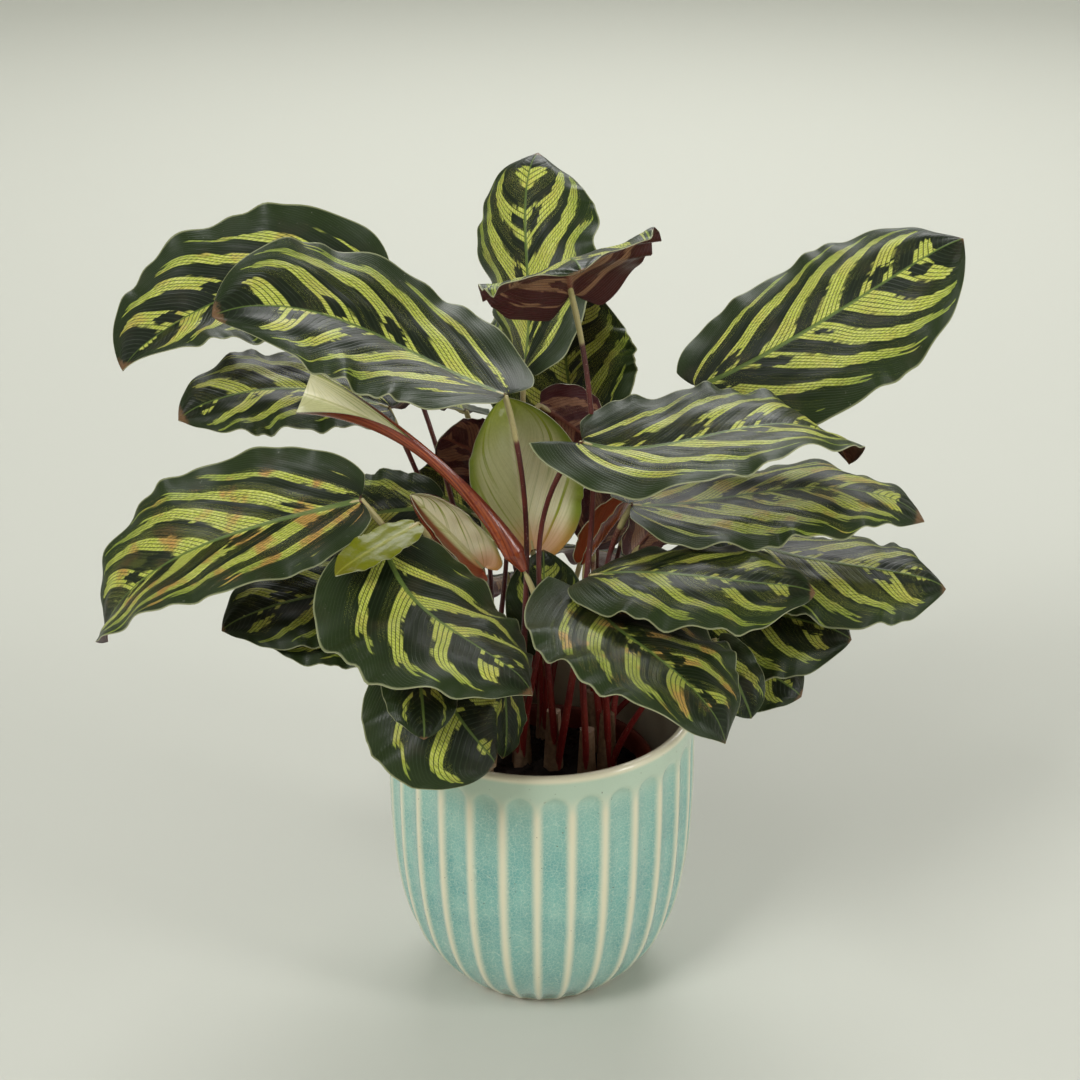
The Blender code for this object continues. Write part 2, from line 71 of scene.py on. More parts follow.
# Ceramic pot, from part.py: its outside and inside as radius and height
RIM_HEIGHT = 147
POT_OUTSIDE = [(75, RIM_HEIGHT), (75, 139), (75.7, 104), (74.5, 67), (69, 37), (60, 18), (47, 4), (42, 0)]
POT_INSIDE = [(42, 8), (54, 18), (68.5, 67), (70, RIM_HEIGHT)]
RIBS = 29
FRONT_RIB_ANGLE = -1.5
FLUTE_DEPTH = 1.8
FLUTE_TOP = 139
# The fine pot: its rounded lip, the height and softness of each flute's round top, the height that the flutes
# fade over at the foot, and its grid
LIP = [(70.1, 147.2), (70.5, 148), (71.2, 148.7), (72.3, 149), (73.4, 149), (74.3, 148.6), (74.9, 147.8)]
FLUTE_ARCH = 7.5
FLUTE_ARCH_SOFTNESS = 3.5
FLUTE_FOOT_FADE = 3
RIB_SOFTNESS = 0.03
OUTSIDE_ROWS = 84
INSIDE_ROWS = 26
SIDES_PER_RIB = 16

# Nursery pot and soil, from part.py
NURSERY_RIM = 115
NURSERY_RIM_DEPTH = 8
NURSERY_RIM_RADIUS = 56
NURSERY_RADIUS = 54
NURSERY_BASE_RADIUS = 40
NURSERY_WALL = 1
NURSERY_FLOOR = 8.3
SOIL_TOP = 108
SOIL_CROWN = 3
SOIL_CROWN_SHARE = 0.55
# The fine nursery pot and soil: their grids, the soil's edge and underside, and the crumbs that lie on it
NURSERY_SIDES = 96
SOIL_RADIUS = 51.8
SOIL_BASE = 9.9
SOIL_BASE_RADIUS = 38.2
SOIL_RINGS = 44
SOIL_SIDES = 128
CRUMBS = 420

# Stalks, from part.py
SHEATH_RADIUS = 5
SHEATH_HEIGHT = 34
STALK_RADIUS = 1.2
STALK_FOOT_RADIUS = 2.1
STALK_RING = 2.3
STALK_HANDLE = 0.3
ARRIVAL_STRAIGHT = 0.5
ARRIVAL_UPRIGHT = 0.5
ARRIVAL_ALONG = 0.35
LEAST_UNDER = 0.35
LEAST_AHEAD = 0.3
# The fine stalks: how deep their feet go, how far below the midrib they arrive, their thin ends, the swelling
# before each blade and their grid
STALK_ROOT = 6
STALK_SINK = 0.6
STALK_TIP_RADIUS = 0.35
KNEE = 0.22
KNEE_PLACE = 14
KNEE_LENGTH = 10
STALK_ROWS = 26
STALK_SIDES = 12
# The husks round their feet
HUSK_TOP_RADIUS = 3.4
HUSK_ROWS = 12
HUSK_SIDES = 24

# Blades, from part.py
BASE_HALF_WIDTH = 1.8
OUTLINE_POWER = 2.5
BASE_BLUNTNESS = 0.40
TIP_BLUNTNESS = 0.85
WAVE = 2.5
WAVES = 3.5
WAVE_SHIFT_PER_LEAF = 2.4
WAVE_SHIFT_PER_SIDE = 1.1
FULL_WAVE_WIDTH = 70
TWIST_START = 0.35
LEAST_TURN = 0.001
LOBE_START = 0.15
LOBE_FADE = 5

# The one leaf that is still a scroll, from part.py
SCROLL = (0, 0, 0)
SCROLL_NECK = 3.2
SCROLL_FOOT = 3
SCROLL_MOUTH = 10
SCROLL_TURNS = 1.25
SCROLL_OPEN_TURNS = 0.5
SCROLL_PITCH = 0.4
SCROLL_START = 0.25
SCROLL_START_LENGTH = 0.1

# The fine blades: the grid, the thickness in the middle and at the edge, the rib beneath, the groove and the
# wider hollow above it, the quilting, the ripple at the edge, the swells and the droop of the tip
GRID_STEP = 1.15
LEAST_ROWS = 24
LEAST_HALF_COLUMNS = 8
SCROLL_GRID_WIDTH = 44
MIDDLE_THICKNESS = 0.6
EDGE_THICKNESS = 0.35
TIP_HALF_WIDTH = 0.15
RIB_DEPTH = 0.9
RIB_WIDTH = 1.3
GROOVE_DEPTH = 0.35
GROOVE_WIDTH = 1.1
HOLLOW_WIDTH = 3.2
QUILT = 0.2
QUILTS = 13
RIPPLE = 1.4
RIPPLES = 8
BUCKLE = 0.8
TIP_DROOP = 3
TIP_DROOP_START = 0.88

SHOOTS = {
    "a": (-10, 4),
    "b": (6, 0),
    "c": (26, 20),
    "d": (-28, -8),
    "e": (22, -18),
    "f": (-26, 22),
    "g": (2, 30),
    "h": (32, -2),
}

# shoot: the shoot that the leaf grows from
# base, tip: the two ends of the midrib
# facing: where the upper face looks, as a compass angle, 0 to the front and 90 to the right, and an angle
#     above level
# width: the blade's full width
# arch: how far the midrib bends towards the upper face near the base and near the tip, and then sideways
# section: how steeply each half rises beside the midrib, and how far it turns down from there to its edge,
#     near the base and near the tip. A turn below 0 rolls it up
# twist: the blade's twist from base to tip
# rise: how far the stalk heads straight up from its shoot
# lobes: how far the blade's two lobes reach back past the stalk
# sway: how far the stalk's middle is bent aside to pass its neighbours
Leaf = namedtuple(
    "Leaf",
    "shoot base tip facing width arch section twist rise lobes sway",
    defaults=[(7, 7), (0, 0, 0)],
)
LEAVES = {
    # The large leaves round the crown, upper left to lower front
    "blade_01": Leaf("f", (-81, 80, 333), (-197, 28, 311), (5, 54), 85, (7, 0, 17), (20, 14, 14), 50, 96),
    "blade_02": Leaf(
        "a", (-16, -22, 315), (-142, -27, 355), (0, 70), 88, (-17, 5, 24), (15, 18, 18), -15, 88
    ),
    "blade_03": Leaf("f", (-73, 39, 286), (-171, 21, 288), (-5, 75), 63, (7, 10, 7), (11, 24, 24), -15, 72),
    "blade_04": Leaf("d", (-80, -42, 273), (-206, -25, 194), (5, 54), 71, (4, 29, 8), (23, 11, 11), 35, 80),
    "blade_05": Leaf(
        "d", (-69, -57, 259), (-2, -125, 223), (47, 44), 96, (-12, 7, 8), (2, 32, 32), -35, 64, (5, 5)
    ),
    "blade_06": Leaf("d", (-52, -62, 211), (-18, -96, 169), (20, 33), 82, (13, 13, 8), (-4, 38, 38), -20, 48),
    "blade_07": Leaf("g", (-9, 46, 303), (-2, 122, 391), (-40, 4), 74, (-5, 14, 2), (0, 36, 36), 50, 96),
    "blade_08": Leaf("c", (24, 64, 262), (23, 102, 328), (-19, 11), 84, (0, 4, -11), (22, 8, 8), -5, 88),
    "blade_09": Leaf(
        "b", (13, -10, 358), (15, -86, 394), (213, 53), 79, (12, 6, 0), (-8, -8, -14), 0, 120,
        (16, 16), (16, -18, 0),
    ),
    "blade_10": Leaf("c", (74, 42, 295), (200, 66, 363), (-7, 50), 87, (-4, 7, 3), (1, 34, 34), -7, 88),
    "blade_11": Leaf(
        "b", (18, -33, 297), (142, -11, 280), (-2, 78), 78, (-6, 36, 7), (14, 21, 21), -36, 80, (4, 26)
    ),
    "blade_12": Leaf("h", (41, -22, 262), (178, -13, 252), (0, 88), 83, (-6, 17, -10), (4, 24, 24), 0, 72),
    "blade_13": Leaf(
        "c", (91, 22, 228), (192, -7, 214), (7, 77), 71, (-3, 8, 7), (1, 35, 35), 12, 96,
        (7, 7), (-8, 0, 30),
    ),
    "blade_14": Leaf("e", (22, -42, 236), (119, -73, 245), (5, 84), 71, (9, 3, 6), (6, 25, 25), 13, 56),
    "blade_15": Leaf(
        "e", (21, -48, 229), (78, -137, 206), (37, 44), 83, (0, 19, 7), (9, 25, 25), -22, 40, (8, 22)
    ),
    # The lower leaves at the left and the right
    "blade_16": Leaf("f", (-50, 9, 247), (-106, 16, 231), (0, 55), 50, (4, 8, 0), (8, 25, 25), 0, 56),
    "blade_17": Leaf("f", (-62, -8, 212), (-148, -34, 205), (0, 60), 54, (4, 6, 4), (8, 25, 25), 0, 40),
    "blade_18": Leaf("d", (-60, -18, 196), (-134, -26, 201), (0, 60), 46, (4, 6, 0), (8, 25, 25), 0, 32),
    "blade_19": Leaf(
        "d", (-56, -74, 218), (-50, -112, 192), (20, 40), 34, (2, 4, 0), (5, 25, 25), 0, 88,
        (7, 7), (0, 10, 14),
    ),
    "blade_20": Leaf("a", (-20, -35, 194), (-17, -62, 152), (55, 20), 28, (2, 3, 0), (10, 20, 20), 0, 24),
    "blade_21": Leaf("h", (51, 12, 199), (149, -8, 187), (0, 60), 74, (4, 8, 0), (6, 25, 25), 0, 40),
    "blade_22": Leaf("c", (78, 20, 171), (126, -10, 156), (0, 50), 48, (4, 6, 0), (6, 25, 25), 0, 24),
    "blade_23": Leaf("h", (80, -40, 202), (96, -60, 172), (10, 30), 26, (2, 4, 0), (10, 20, 20), 0, 16),
    # The small leaves in the middle, seen between the large ones
    "blade_24": Leaf("g", (2, 8, 171), (1, 13, 223), (0, 5), 38, (4, 4, 0), (10, 25, 25), 0, 16),
    "blade_25": Leaf(
        "d", (-55, -45, 263), (-88, -85, 257), (0, 74), 20, (0, 2, 0), (4, 4, 4), 0, 48,
        (3, 3), (0, 20, 9),
    ),
    "blade_26": Leaf("f", (-20, 42, 254), (-49, 32, 274), (165, -10), 34, (2, 4, 0), (10, 20, 20), 0, 64),
    "blade_27": Leaf("g", (-1, 48, 284), (27, 43, 265), (180, -5), 38, (2, 3, 0), (6, 15, 15), 0, 72),
    "blade_28": Leaf("c", (25, 36, 218), (40, 42, 242), (170, 20), 34, (2, 4, 0), (10, -20, -20), 0, 32),
    "blade_29": Leaf("c", (42, 4, 224), (64, 16, 242), (170, 30), 30, (2, 4, 0), (10, 20, 20), 0, 48),
    "blade_30": Leaf("f", (-30, 58, 219), (-72, 86, 227), (0, 60), 44, (3, 6, 0), (10, 20, 20), 0, 48),
    # The leaves at the back
    "blade_31": Leaf("g", (-38, 90, 265), (-98, 136, 248), (185, 60), 66, (3, 8, 0), (10, 20, 20), 0, 80),
    "blade_32": Leaf("f", (-45, 72, 215), (-92, 148, 166), (210, 50), 66, (4, 10, 3), (8, 25, 25), 10, 48),
    "blade_33": Leaf("g", (8, 102, 226), (16, 182, 200), (180, 60), 74, (4, 10, -3), (8, 25, 25), -10, 64),
    "blade_34": Leaf("c", (46, 68, 222), (108, 132, 186), (150, 55), 68, (4, 10, 3), (8, 25, 25), 10, 56),
    "blade_35": Leaf("f", (-62, 48, 190), (-136, 92, 160), (230, 60), 60, (4, 9, 0), (8, 25, 25), 0, 32),
    "blade_36": Leaf("g", (22, 82, 192), (50, 152, 140), (165, 50), 64, (4, 9, 0), (8, 25, 25), 5, 40),
    "blade_37": Leaf("g", (-18, 76, 180), (-44, 138, 128), (200, 50), 62, (4, 9, 0), (8, 25, 25), -5, 32),
    "blade_38": Leaf("c", (66, 48, 182), (132, 84, 158), (120, 60), 60, (4, 9, 0), (8, 25, 25), 0, 32),
    # The young leaves, rolled or just opening
    "new_leaf_01": Leaf("g", (-4, 20, 220), (-17, 34, 293), (12, 0), 72, (-6, 2, 0), (22, -50, -30), 0, 48),
    "new_leaf_02": Leaf("f", (-28, 2, 219), (-61, 1, 257), (15, 25), 46, (2, 4, 0), (22, -80, -90), 0, 48),
    "new_leaf_03": Leaf("h", (21, 4, 222), (43, 14, 250), (-30, 30), 32, (2, 3, 0), (30, -90, -90), 0, 48),
    "new_leaf_04": Leaf("a", (-8, -26, 231), (-104, -24, 320), (20, 40), 40, (7, 10, 9), SCROLL, 0, 48),
}

# How much of a leaf's bands has turned orange. On the young leaves, 0.45 stands for a cream tip, 1 for a
# copper side and 2 for amber
USUAL_TINT = 0.15
TINTS = {
    "blade_01": 0.4,
    "blade_04": 0.9,
    "blade_12": 0.5,
    "blade_15": 0.8,
    "new_leaf_02": 1,
    "new_leaf_03": 2,
    "new_leaf_04": 0.45,
}
PALE_LEAF = "blade_25"
# By a blade's number: how large its dark ovals are and how much its bands are darkened as painted shade
USUAL_DARKNESS = (1.1, 0.15)
DARKNESS = {
    1: (0.98, 0), 2: (1.12, 0.05), 3: (1, 0.1), 4: (0.98, 0), 5: (1.15, 0.2), 6: (1.25, 0.2), 7: (0.86, 0),
    8: (0.95, 0.1), 9: (0.85, 0), 10: (1, 0), 11: (1.05, 0.1), 12: (0.75, 0.1), 13: (1, 0.15),
    14: (1.15, 0.4), 15: (1.2, 0.4), 19: (1.5, 0.4), 20: (1.5, 0.4), 21: (1.15, 0.35),
    **dict.fromkeys((16, 17, 18, 22, 23, 24), (1.2, 0.4)),
    **dict.fromkeys((26, 27, 28, 29), (0.8, 0)),
}


# Nodes

class Field:
    """A value that shader nodes work out at each point, which Python's operators combine."""

    def __init__(self, tree, socket):
        self.tree = tree
        self.socket = socket

    def math(self, operation, *others):
        """This field and others through one Math node."""
        return computed(self.tree, "Math", enumerate((self, *others)), operation=operation)

    __add__ = __radd__ = partialmethod(math, "ADD")
    __mul__ = __rmul__ = partialmethod(math, "MULTIPLY")
    __sub__ = partialmethod(math, "SUBTRACT")
    __truediv__ = partialmethod(math, "DIVIDE")
    __pow__ = partialmethod(math, "POWER")

    def __rsub__(self, other):
        return self * -1 + other

    def smooth(self, low, high):
        """From 0 at low to 1 at high, softened at both ends."""
        inputs = {"Value": self, "From Min": low, "From Max": high}
        return computed(self.tree, "MapRange", inputs.items(), interpolation_type="SMOOTHSTEP")

    def curve(self, points):
        """A piecewise curve through points of place and value, both from 0 to 1."""
        found = computed(self.tree, "ValToRGB", [(0, self)])
        ramp = found.socket.node.color_ramp
        ramp.elements.remove(ramp.elements[1])
        ramp.elements[0].position = points[0][0]
        for place, _ in points[1:]:
            ramp.elements.new(place)
        for element, (_, value) in zip(ramp.elements, points):
            element.color = (value, value, value, 1)
        return found


def feed(tree, value, socket):
    """Gives a node's input a field, a screen colour or a number."""
    if isinstance(value, Field):
        tree.links.new(value.socket, socket)
    else:
        socket.default_value = srgb(*value) if isinstance(value, tuple) else value


def computed(tree, kind, inputs=(), output=0, **settings):
    """The output of a new node of this kind, as a field."""
    node = tree.nodes.new("ShaderNode" + kind)
    for name, value in settings.items():
        setattr(node, name, value)
    for name, value in inputs:
        feed(tree, value, node.inputs[name])
    return Field(tree, node.outputs[output])


class Painter:
    """The node tree of one material, with short names for what its pattern needs."""

    def __init__(self, name):
        self.material = bpy.data.materials.new(name)
        self.material.use_nodes = True
        self.tree = self.material.node_tree
        self.shader = self.tree.nodes["Principled BSDF"]

    def attribute(self, name):
        """The three numbers of a mesh attribute, and the attribute as a vector."""
        vector = computed(self.tree, "Attribute", (), "Vector", attribute_name=name)
        parts = computed(self.tree, "SeparateXYZ", [(0, vector)]).socket.node
        return [Field(self.tree, output) for output in parts.outputs], vector

    def vector(self, *parts):
        """A vector from three fields or numbers."""
        return computed(self.tree, "CombineXYZ", enumerate(parts))

    def place(self):
        """The point's own place on the object, in metres."""
        return computed(self.tree, "TexCoord", (), "Object")

    def random(self, *parts):
        """A random number that is the same wherever the parts are."""
        return computed(self.tree, "TexWhiteNoise", [("Vector", self.vector(*parts))], "Value")

    def noise(self, vector, scale, detail=2, rough=0.5):
        """Soft noise from 0 to 1."""
        inputs = {"Vector": vector, "Scale": scale, "Detail": detail, "Roughness": rough}
        return computed(self.tree, "TexNoise", inputs.items())

    def cracks(self, vector, scale):
        """How far the point is from the nearest crack of a net of cells."""
        inputs = [("Vector", vector), ("Scale", scale)]
        return computed(self.tree, "TexVoronoi", inputs, "Distance", feature="DISTANCE_TO_EDGE")

    def mix(self, share, first, second):
        """The first colour where share is 0 and the second where it is 1."""
        inputs = [(0, share), (6, first), (7, second)]
        return computed(self.tree, "Mix", inputs, 2, data_type="RGBA")

    def layers(self, colour, *layers):
        """A colour with others laid over it one by one, each with its share."""
        for share, over in layers:
            colour = self.mix(share, colour, over)
        return colour

    def finish(self, colour, roughness, height=None, depth=0.1, specular=0.5):
        """Sends the colour, roughness and surface height, in millimetres, to the shader."""
        inputs = {"Base Color": colour, "Roughness": roughness, "Specular IOR Level": specular}
        if height is not None:
            bumps = [("Distance", depth * MM), ("Height", height)]
            inputs["Normal"] = computed(self.tree, "Bump", bumps)
        for name, value in inputs.items():
            feed(self.tree, value, self.shader.inputs[name])
        return self.material


def srgb(red, green, blue):
    """A linear colour from the 0 to 255 values that a screen shows."""
    parts = [value / 255 for value in (red, green, blue)]
    linear = [part / 12.92 if part <= 0.04045 else ((part + 0.055) / 1.055) ** 2.4 for part in parts]
    return (*linear, 1)


# Materials

# Millimetres of leaf a band, strips a band, and millimetres between the rungs of a strip
BAND_LENGTH = 31
STRIPS = 10
CROSS_STEP = 1.2
# How far a band's sides keep to whole strips
STEP_SHARE = 0.8
# How far each side vein runs towards the tip: its first and third power of the way to the edge
SWEEP = 0.42
SWEEP_BEND = 0.15
# How many times as far on the two faces of a young leaf
YOUNG_INNER_SWEEP = 2.6
YOUNG_OUTER_SWEEP = 1.7
# At each share of the way to the edge, half the share of a band's spacing that the dark oval takes up, and
# half the share that the small oval within a pale band takes up
OVAL = [
    (0, 0.19), (0.08, 0.25), (0.22, 0.29), (0.42, 0.28), (0.6, 0.25), (0.72, 0.27), (0.82, 0.38), (0.9, 0.62),
]
EYE = [(0, 0.03), (0.04, 0.1), (0.11, 0.17), (0.19, 0.16), (0.27, 0), (1, 0)]


class Markings:
    """The peacock leaf's markings: pale strips between dark ovals, and its veins."""

    def __init__(self, paint, steepness=1):
        (s, t, seed), _ = paint.attribute("leaf_grid")
        (x, y, tint), place = paint.attribute("leaf_place")
        (length, darkness, shade), _ = paint.attribute("leaf_size")
        self.s, self.t, self.tint, self.place, self.seed, self.shade = s, t, tint, place, seed, shade
        edge = t.math("ABSOLUTE")
        side = t.math("GREATER_THAN", 0)
        self.edge = edge
        self.out = y.math("ABSOLUTE")
        # The side vein through this point leaves the midrib at v
        sweep = edge * (SWEEP * steepness) + edge**3 * SWEEP_BEND
        root = (1 - sweep * (s - sweep) * 4).math("MAXIMUM", 0).math("SQRT")
        v = (s - sweep) * 2 / (root + 1)
        drift = paint.noise(paint.vector(x * 0.03, y * 0.03, seed), 1, 1) - 0.5
        self.v = v
        count = length / BAND_LENGTH + paint.random(seed, 3, 0) * 0.8
        along = (v + drift * 0.07) * count + paint.random(seed, side, 7)
        strip = (along * STRIPS).math("FLOOR")
        within = (along * STRIPS).math("FRACT") - 0.5
        self.vein = within.math("ABSOLUTE").smooth(0.31, 0.48)
        # Short rungs cross each strip, and no two strips' rungs line up
        ladder = self.out / CROSS_STEP + paint.random(strip, side, seed) * 9
        chance = paint.random(ladder.math("FLOOR"), strip, side + seed)
        self.tick = (ladder.math("FRACT") - 0.5).math("ABSOLUTE").smooth(0.2, 0.5) * (chance * 0.8 + 0.2)
        # Dark ovals open into the dark margin, and the pale bands between them taper towards it
        stepped = (strip + 0.5) / STRIPS * STEP_SHARE + along * (1 - STEP_SHARE) + (chance - 0.5) * 0.03
        shift = (paint.random(strip, seed, side) - 0.5) * (edge**2 * 0.26 + 0.04)
        ragged = edge + shift + (chance - 0.5) * 0.03
        course = stepped - ragged.smooth(0.4, 0.9) * 0.3
        number = course.math("FLOOR")
        across = (course.math("FRACT") - 0.5).math("ABSOLUTE")
        size = (paint.random(number, seed, side) - 0.5) * 0.36 + darkness
        reach = ragged + (paint.random(number, side, seed + 2) - 0.5) * 0.18
        faded = (1 - v.smooth(-0.34, 0.06)) * 0.3 + s.smooth(0.84, 0.98) * 0.5
        dark = reach.curve(OVAL) * size + faded
        band = (across - dark).smooth(-0.018, 0.018)
        # A small dark oval sits on the midrib in some of the pale bands
        middle = (course + 0.5).math("FLOOR")
        beside = ((course + 0.5).math("FRACT") - 0.5).math("ABSOLUTE")
        eye = ragged.curve(EYE) * paint.random(middle, side, seed + 5).smooth(0.3, 0.6)
        hole = (eye - beside).smooth(-0.012, 0.012)
        self.band = band * (1 - hole)
        self.rib = 1 - (self.out - (1.25 - s * 0.95)).smooth(-0.2, 0.25)
        self.rim = edge.smooth(0.972, 0.992)


def leaf_upper_material():
    """The upper face: dark green, with yellow-green bands, a satin gloss, painted sheen towards its edges and
    a painted highlight along its edge.
    """
    paint = Painter("leaf_upper")
    marks = Markings(paint)
    patches = paint.noise(marks.place, 0.06, 3)
    fine = paint.noise(marks.place, 0.9, 3)
    yellow = paint.layers(
        paint.mix(fine.smooth(0.35, 0.65), (190, 199, 76), (216, 219, 116)),
        (marks.edge.smooth(0.5, 0.9) * 0.65, (112, 140, 46)),
        # Painted shade: the bands are darkened by each leaf's own amount, most on the lower leaves
        (marks.shade, (104, 118, 34)),
        (patches.smooth(0.5, 0.62) * marks.tint, (204, 150, 84)),
        (marks.tick * 0.85, (78, 96, 26)),
        (marks.vein * 0.95, (44, 58, 24)),
    )
    dark = paint.layers(
        paint.mix(marks.edge.smooth(0.35, 0.95), (20, 30, 10), (37, 51, 19)),
        (patches.smooth(0.5, 0.75) * 0.4, (62, 56, 42)),
        (marks.vein * 0.22, (66, 80, 52)),
    )
    # Painted sheen: pale grey patches that grow towards each blade's edge
    painted_sheen = paint.noise(marks.place, 0.35, 4, 0.7).smooth(0.66, 0.74) * marks.edge.smooth(0.5, 1.0)
    dry = paint.random(marks.seed, 9, 1) * 0.03 + 0.955
    colour = paint.layers(
        paint.mix(marks.band, dark, yellow),
        (marks.rib * 0.9, (92, 112, 52)),
        (painted_sheen * 0.5, (170, 172, 158)),
        # Painted highlight: a pale line along the very edge of the upper face
        (marks.rim * 0.6, (168, 172, 128)),
        ((marks.s - dry + (fine - 0.5) * 0.03).smooth(0, 0.02), (112, 84, 56)),
    )
    rough = fine * 0.12 + 0.28 + patches * 0.14
    height = marks.vein * -0.35 + marks.tick * marks.band * -0.15 + fine * 0.35 + marks.rib * 0.5
    return paint.finish(colour, rough, height, 0.18, 0.26)


def leaf_under_material():
    """The underside: maroon, with paler stripes under the bands."""
    paint = Painter("leaf_under")
    marks = Markings(paint)
    fine = paint.noise(marks.place, 0.7, 3)
    stripe = paint.mix(marks.vein * 0.8, paint.mix(fine, (150, 104, 78), (184, 142, 108)), (84, 36, 34))
    dark = paint.mix(fine, (56, 22, 26), (84, 34, 38))
    colour = paint.layers(dark, (marks.band * 0.75, stripe), (marks.rib * 0.8, (126, 74, 58)))
    return paint.finish(colour, 0.38, marks.vein * 0.6 + fine * 0.3, 0.2)


def leaf_edge_material():
    """The thin pale line round a blade: a painted highlight on the strip between its two faces."""
    paint = Painter("leaf_edge")
    shade = paint.noise(paint.place(), 160, 1)
    return paint.finish(paint.mix(shade, (150, 152, 112), (186, 184, 150)), 0.5)


def young_inner_material():
    """The inner face of a young leaf: broad cream and yellow-green stripes along its veins."""
    paint = Painter("young_inner")
    marks = Markings(paint, YOUNG_INNER_SWEEP)
    fine = paint.noise(marks.place, 0.7, 3)
    stripes = paint.noise(paint.vector(marks.v * 9, marks.edge * 0.8, marks.seed), 1, 2)
    lines = paint.noise(paint.vector(marks.v * 60, marks.edge * 0.8, marks.seed), 1, 1)
    green_tip = marks.s.smooth(0.6, 1.0) * (1 - marks.tint.smooth(0.3, 0.4))
    share = stripes.smooth(0.32, 0.44) * (1 - marks.edge.smooth(0.6, 0.95)) * (1 - green_tip)
    share = share * (1 - (marks.t * -1).smooth(0, 0.1) * 0.4)
    foot = (1 - marks.s.smooth(0.02, 0.26)) * 0.7
    amber = marks.tint.smooth(1.4, 1.6) * 0.85
    rolled = (marks.t * -1).smooth(0.08, 0.2) * marks.tint.smooth(0.6, 0.8)
    colour = paint.layers(
        paint.mix(fine, (136, 152, 28), (176, 186, 50)),
        (share, paint.mix(fine, (244, 238, 190), (254, 250, 220))),
        (lines.smooth(0.52, 0.6) * 0.22, (168, 172, 92)),
        (marks.edge.smooth(0.7, 1.0) * 0.6, (92, 118, 42)),
        (marks.rib * 0.6, (188, 186, 104)),
        (foot, paint.mix(stripes, (190, 98, 56), (222, 160, 104))),
        (amber, paint.mix(stripes, (206, 128, 56), (232, 178, 96))),
        (rolled, paint.mix(lines, (112, 40, 28), (178, 90, 52))),
    )
    return paint.finish(colour, 0.30, lines * 0.5 + fine * 0.3, 0.2, 0.6)


def pale_leaf_material():
    """A small leaf that has just opened: plain yellow-green with faint veins."""
    paint = Painter("leaf_pale")
    marks = Markings(paint)
    fine = paint.noise(marks.place, 0.4, 3)
    colour = paint.layers(
        paint.mix(fine, (96, 102, 6), (124, 126, 18)),
        (marks.vein * 0.4, (108, 128, 38)),
        (marks.s.smooth(0.7, 1.0) * 0.6, (106, 98, 24)),
        (marks.rib * 0.6, (150, 150, 52)),
    )
    return paint.finish(colour, 0.34, fine, 0.15, 0.3)


def young_outer_material():
    """The outer face of a young leaf: copper red with a gloss, darker at its edges."""
    paint = Painter("young_outer")
    marks = Markings(paint, YOUNG_OUTER_SWEEP)
    fine = paint.noise(marks.place, 0.5, 3)
    streak = paint.noise(paint.vector(marks.v * 22, marks.edge * 0.8, marks.seed), 1, 2)
    colour = paint.layers(
        paint.mix(streak.smooth(0.3, 0.7), (104, 36, 24), (172, 84, 44)),
        (fine.smooth(0.45, 0.75), (136, 56, 42)),
        (marks.edge.smooth(0.8, 1.0) * 0.7, (86, 24, 24)),
    )
    return paint.finish(colour, 0.24, streak * 0.8 + fine * 0.4, 0.25, 0.8)


def stalk_material():
    """Stalks: dark red below, nearly black red above, and pale where they meet their blades."""
    paint = Painter("stalk")
    (height, to_blade, seed), _ = paint.attribute("stalk_place")
    fine = paint.noise(paint.place(), 900, 2)
    long = paint.noise(paint.vector(height * 0.05, seed, 0), 1, 1)
    pale_length = paint.random(seed, 1, 2) * 14 + 18
    colour = paint.layers(
        paint.mix(fine, (112, 24, 26), (140, 40, 36)),
        (height.smooth(30, 90), paint.mix(fine, (62, 24, 26), (92, 40, 40))),
        ((long - 0.35).smooth(0.0, 0.35) * 0.35, (150, 66, 50)),
        (paint.noise(paint.place(), 1500, 1).smooth(0.68, 0.74) * 0.5, (196, 170, 150)),
        (1 - (to_blade - pale_length).smooth(-1.2, 1.2), paint.mix(fine, (168, 158, 104), (192, 178, 128))),
    )
    return paint.finish(colour, 0.36, fine, 0.06)


def husk_material():
    """Dry sheaths: tan with brown fibres."""
    paint = Painter("husk")
    fibre = paint.noise(paint.place(), 420, 3)
    return paint.finish(paint.mix(fibre, (86, 60, 44), (168, 138, 106)), 0.7, fibre, 0.2)


def soil_material():
    """Dark moist potting soil with paler fibres."""
    paint = Painter("soil")
    grain = paint.noise(paint.place(), 420, 5, 0.7)
    fibre = paint.noise(paint.place(), 160, 3)
    colour = paint.mix(grain, (16, 12, 10), (46, 34, 27))
    colour = paint.mix(fibre.smooth(0.62, 0.75) * 0.5, colour, (84, 62, 46))
    return paint.finish(colour, 0.92, grain + fibre * 0.5, 0.9, 0.25)


def plastic_material():
    """The nursery pot's thin red-brown plastic."""
    paint = Painter("nursery_plastic")
    fine = paint.noise(paint.place(), 900, 2)
    dust = paint.noise(paint.place(), 60, 3)
    colour = paint.mix(fine, (112, 48, 34), (132, 60, 42))
    colour = paint.mix(dust.smooth(0.55, 0.8) * 0.4, colour, (126, 96, 78))
    return paint.finish(colour, 0.48, fine, 0.05)


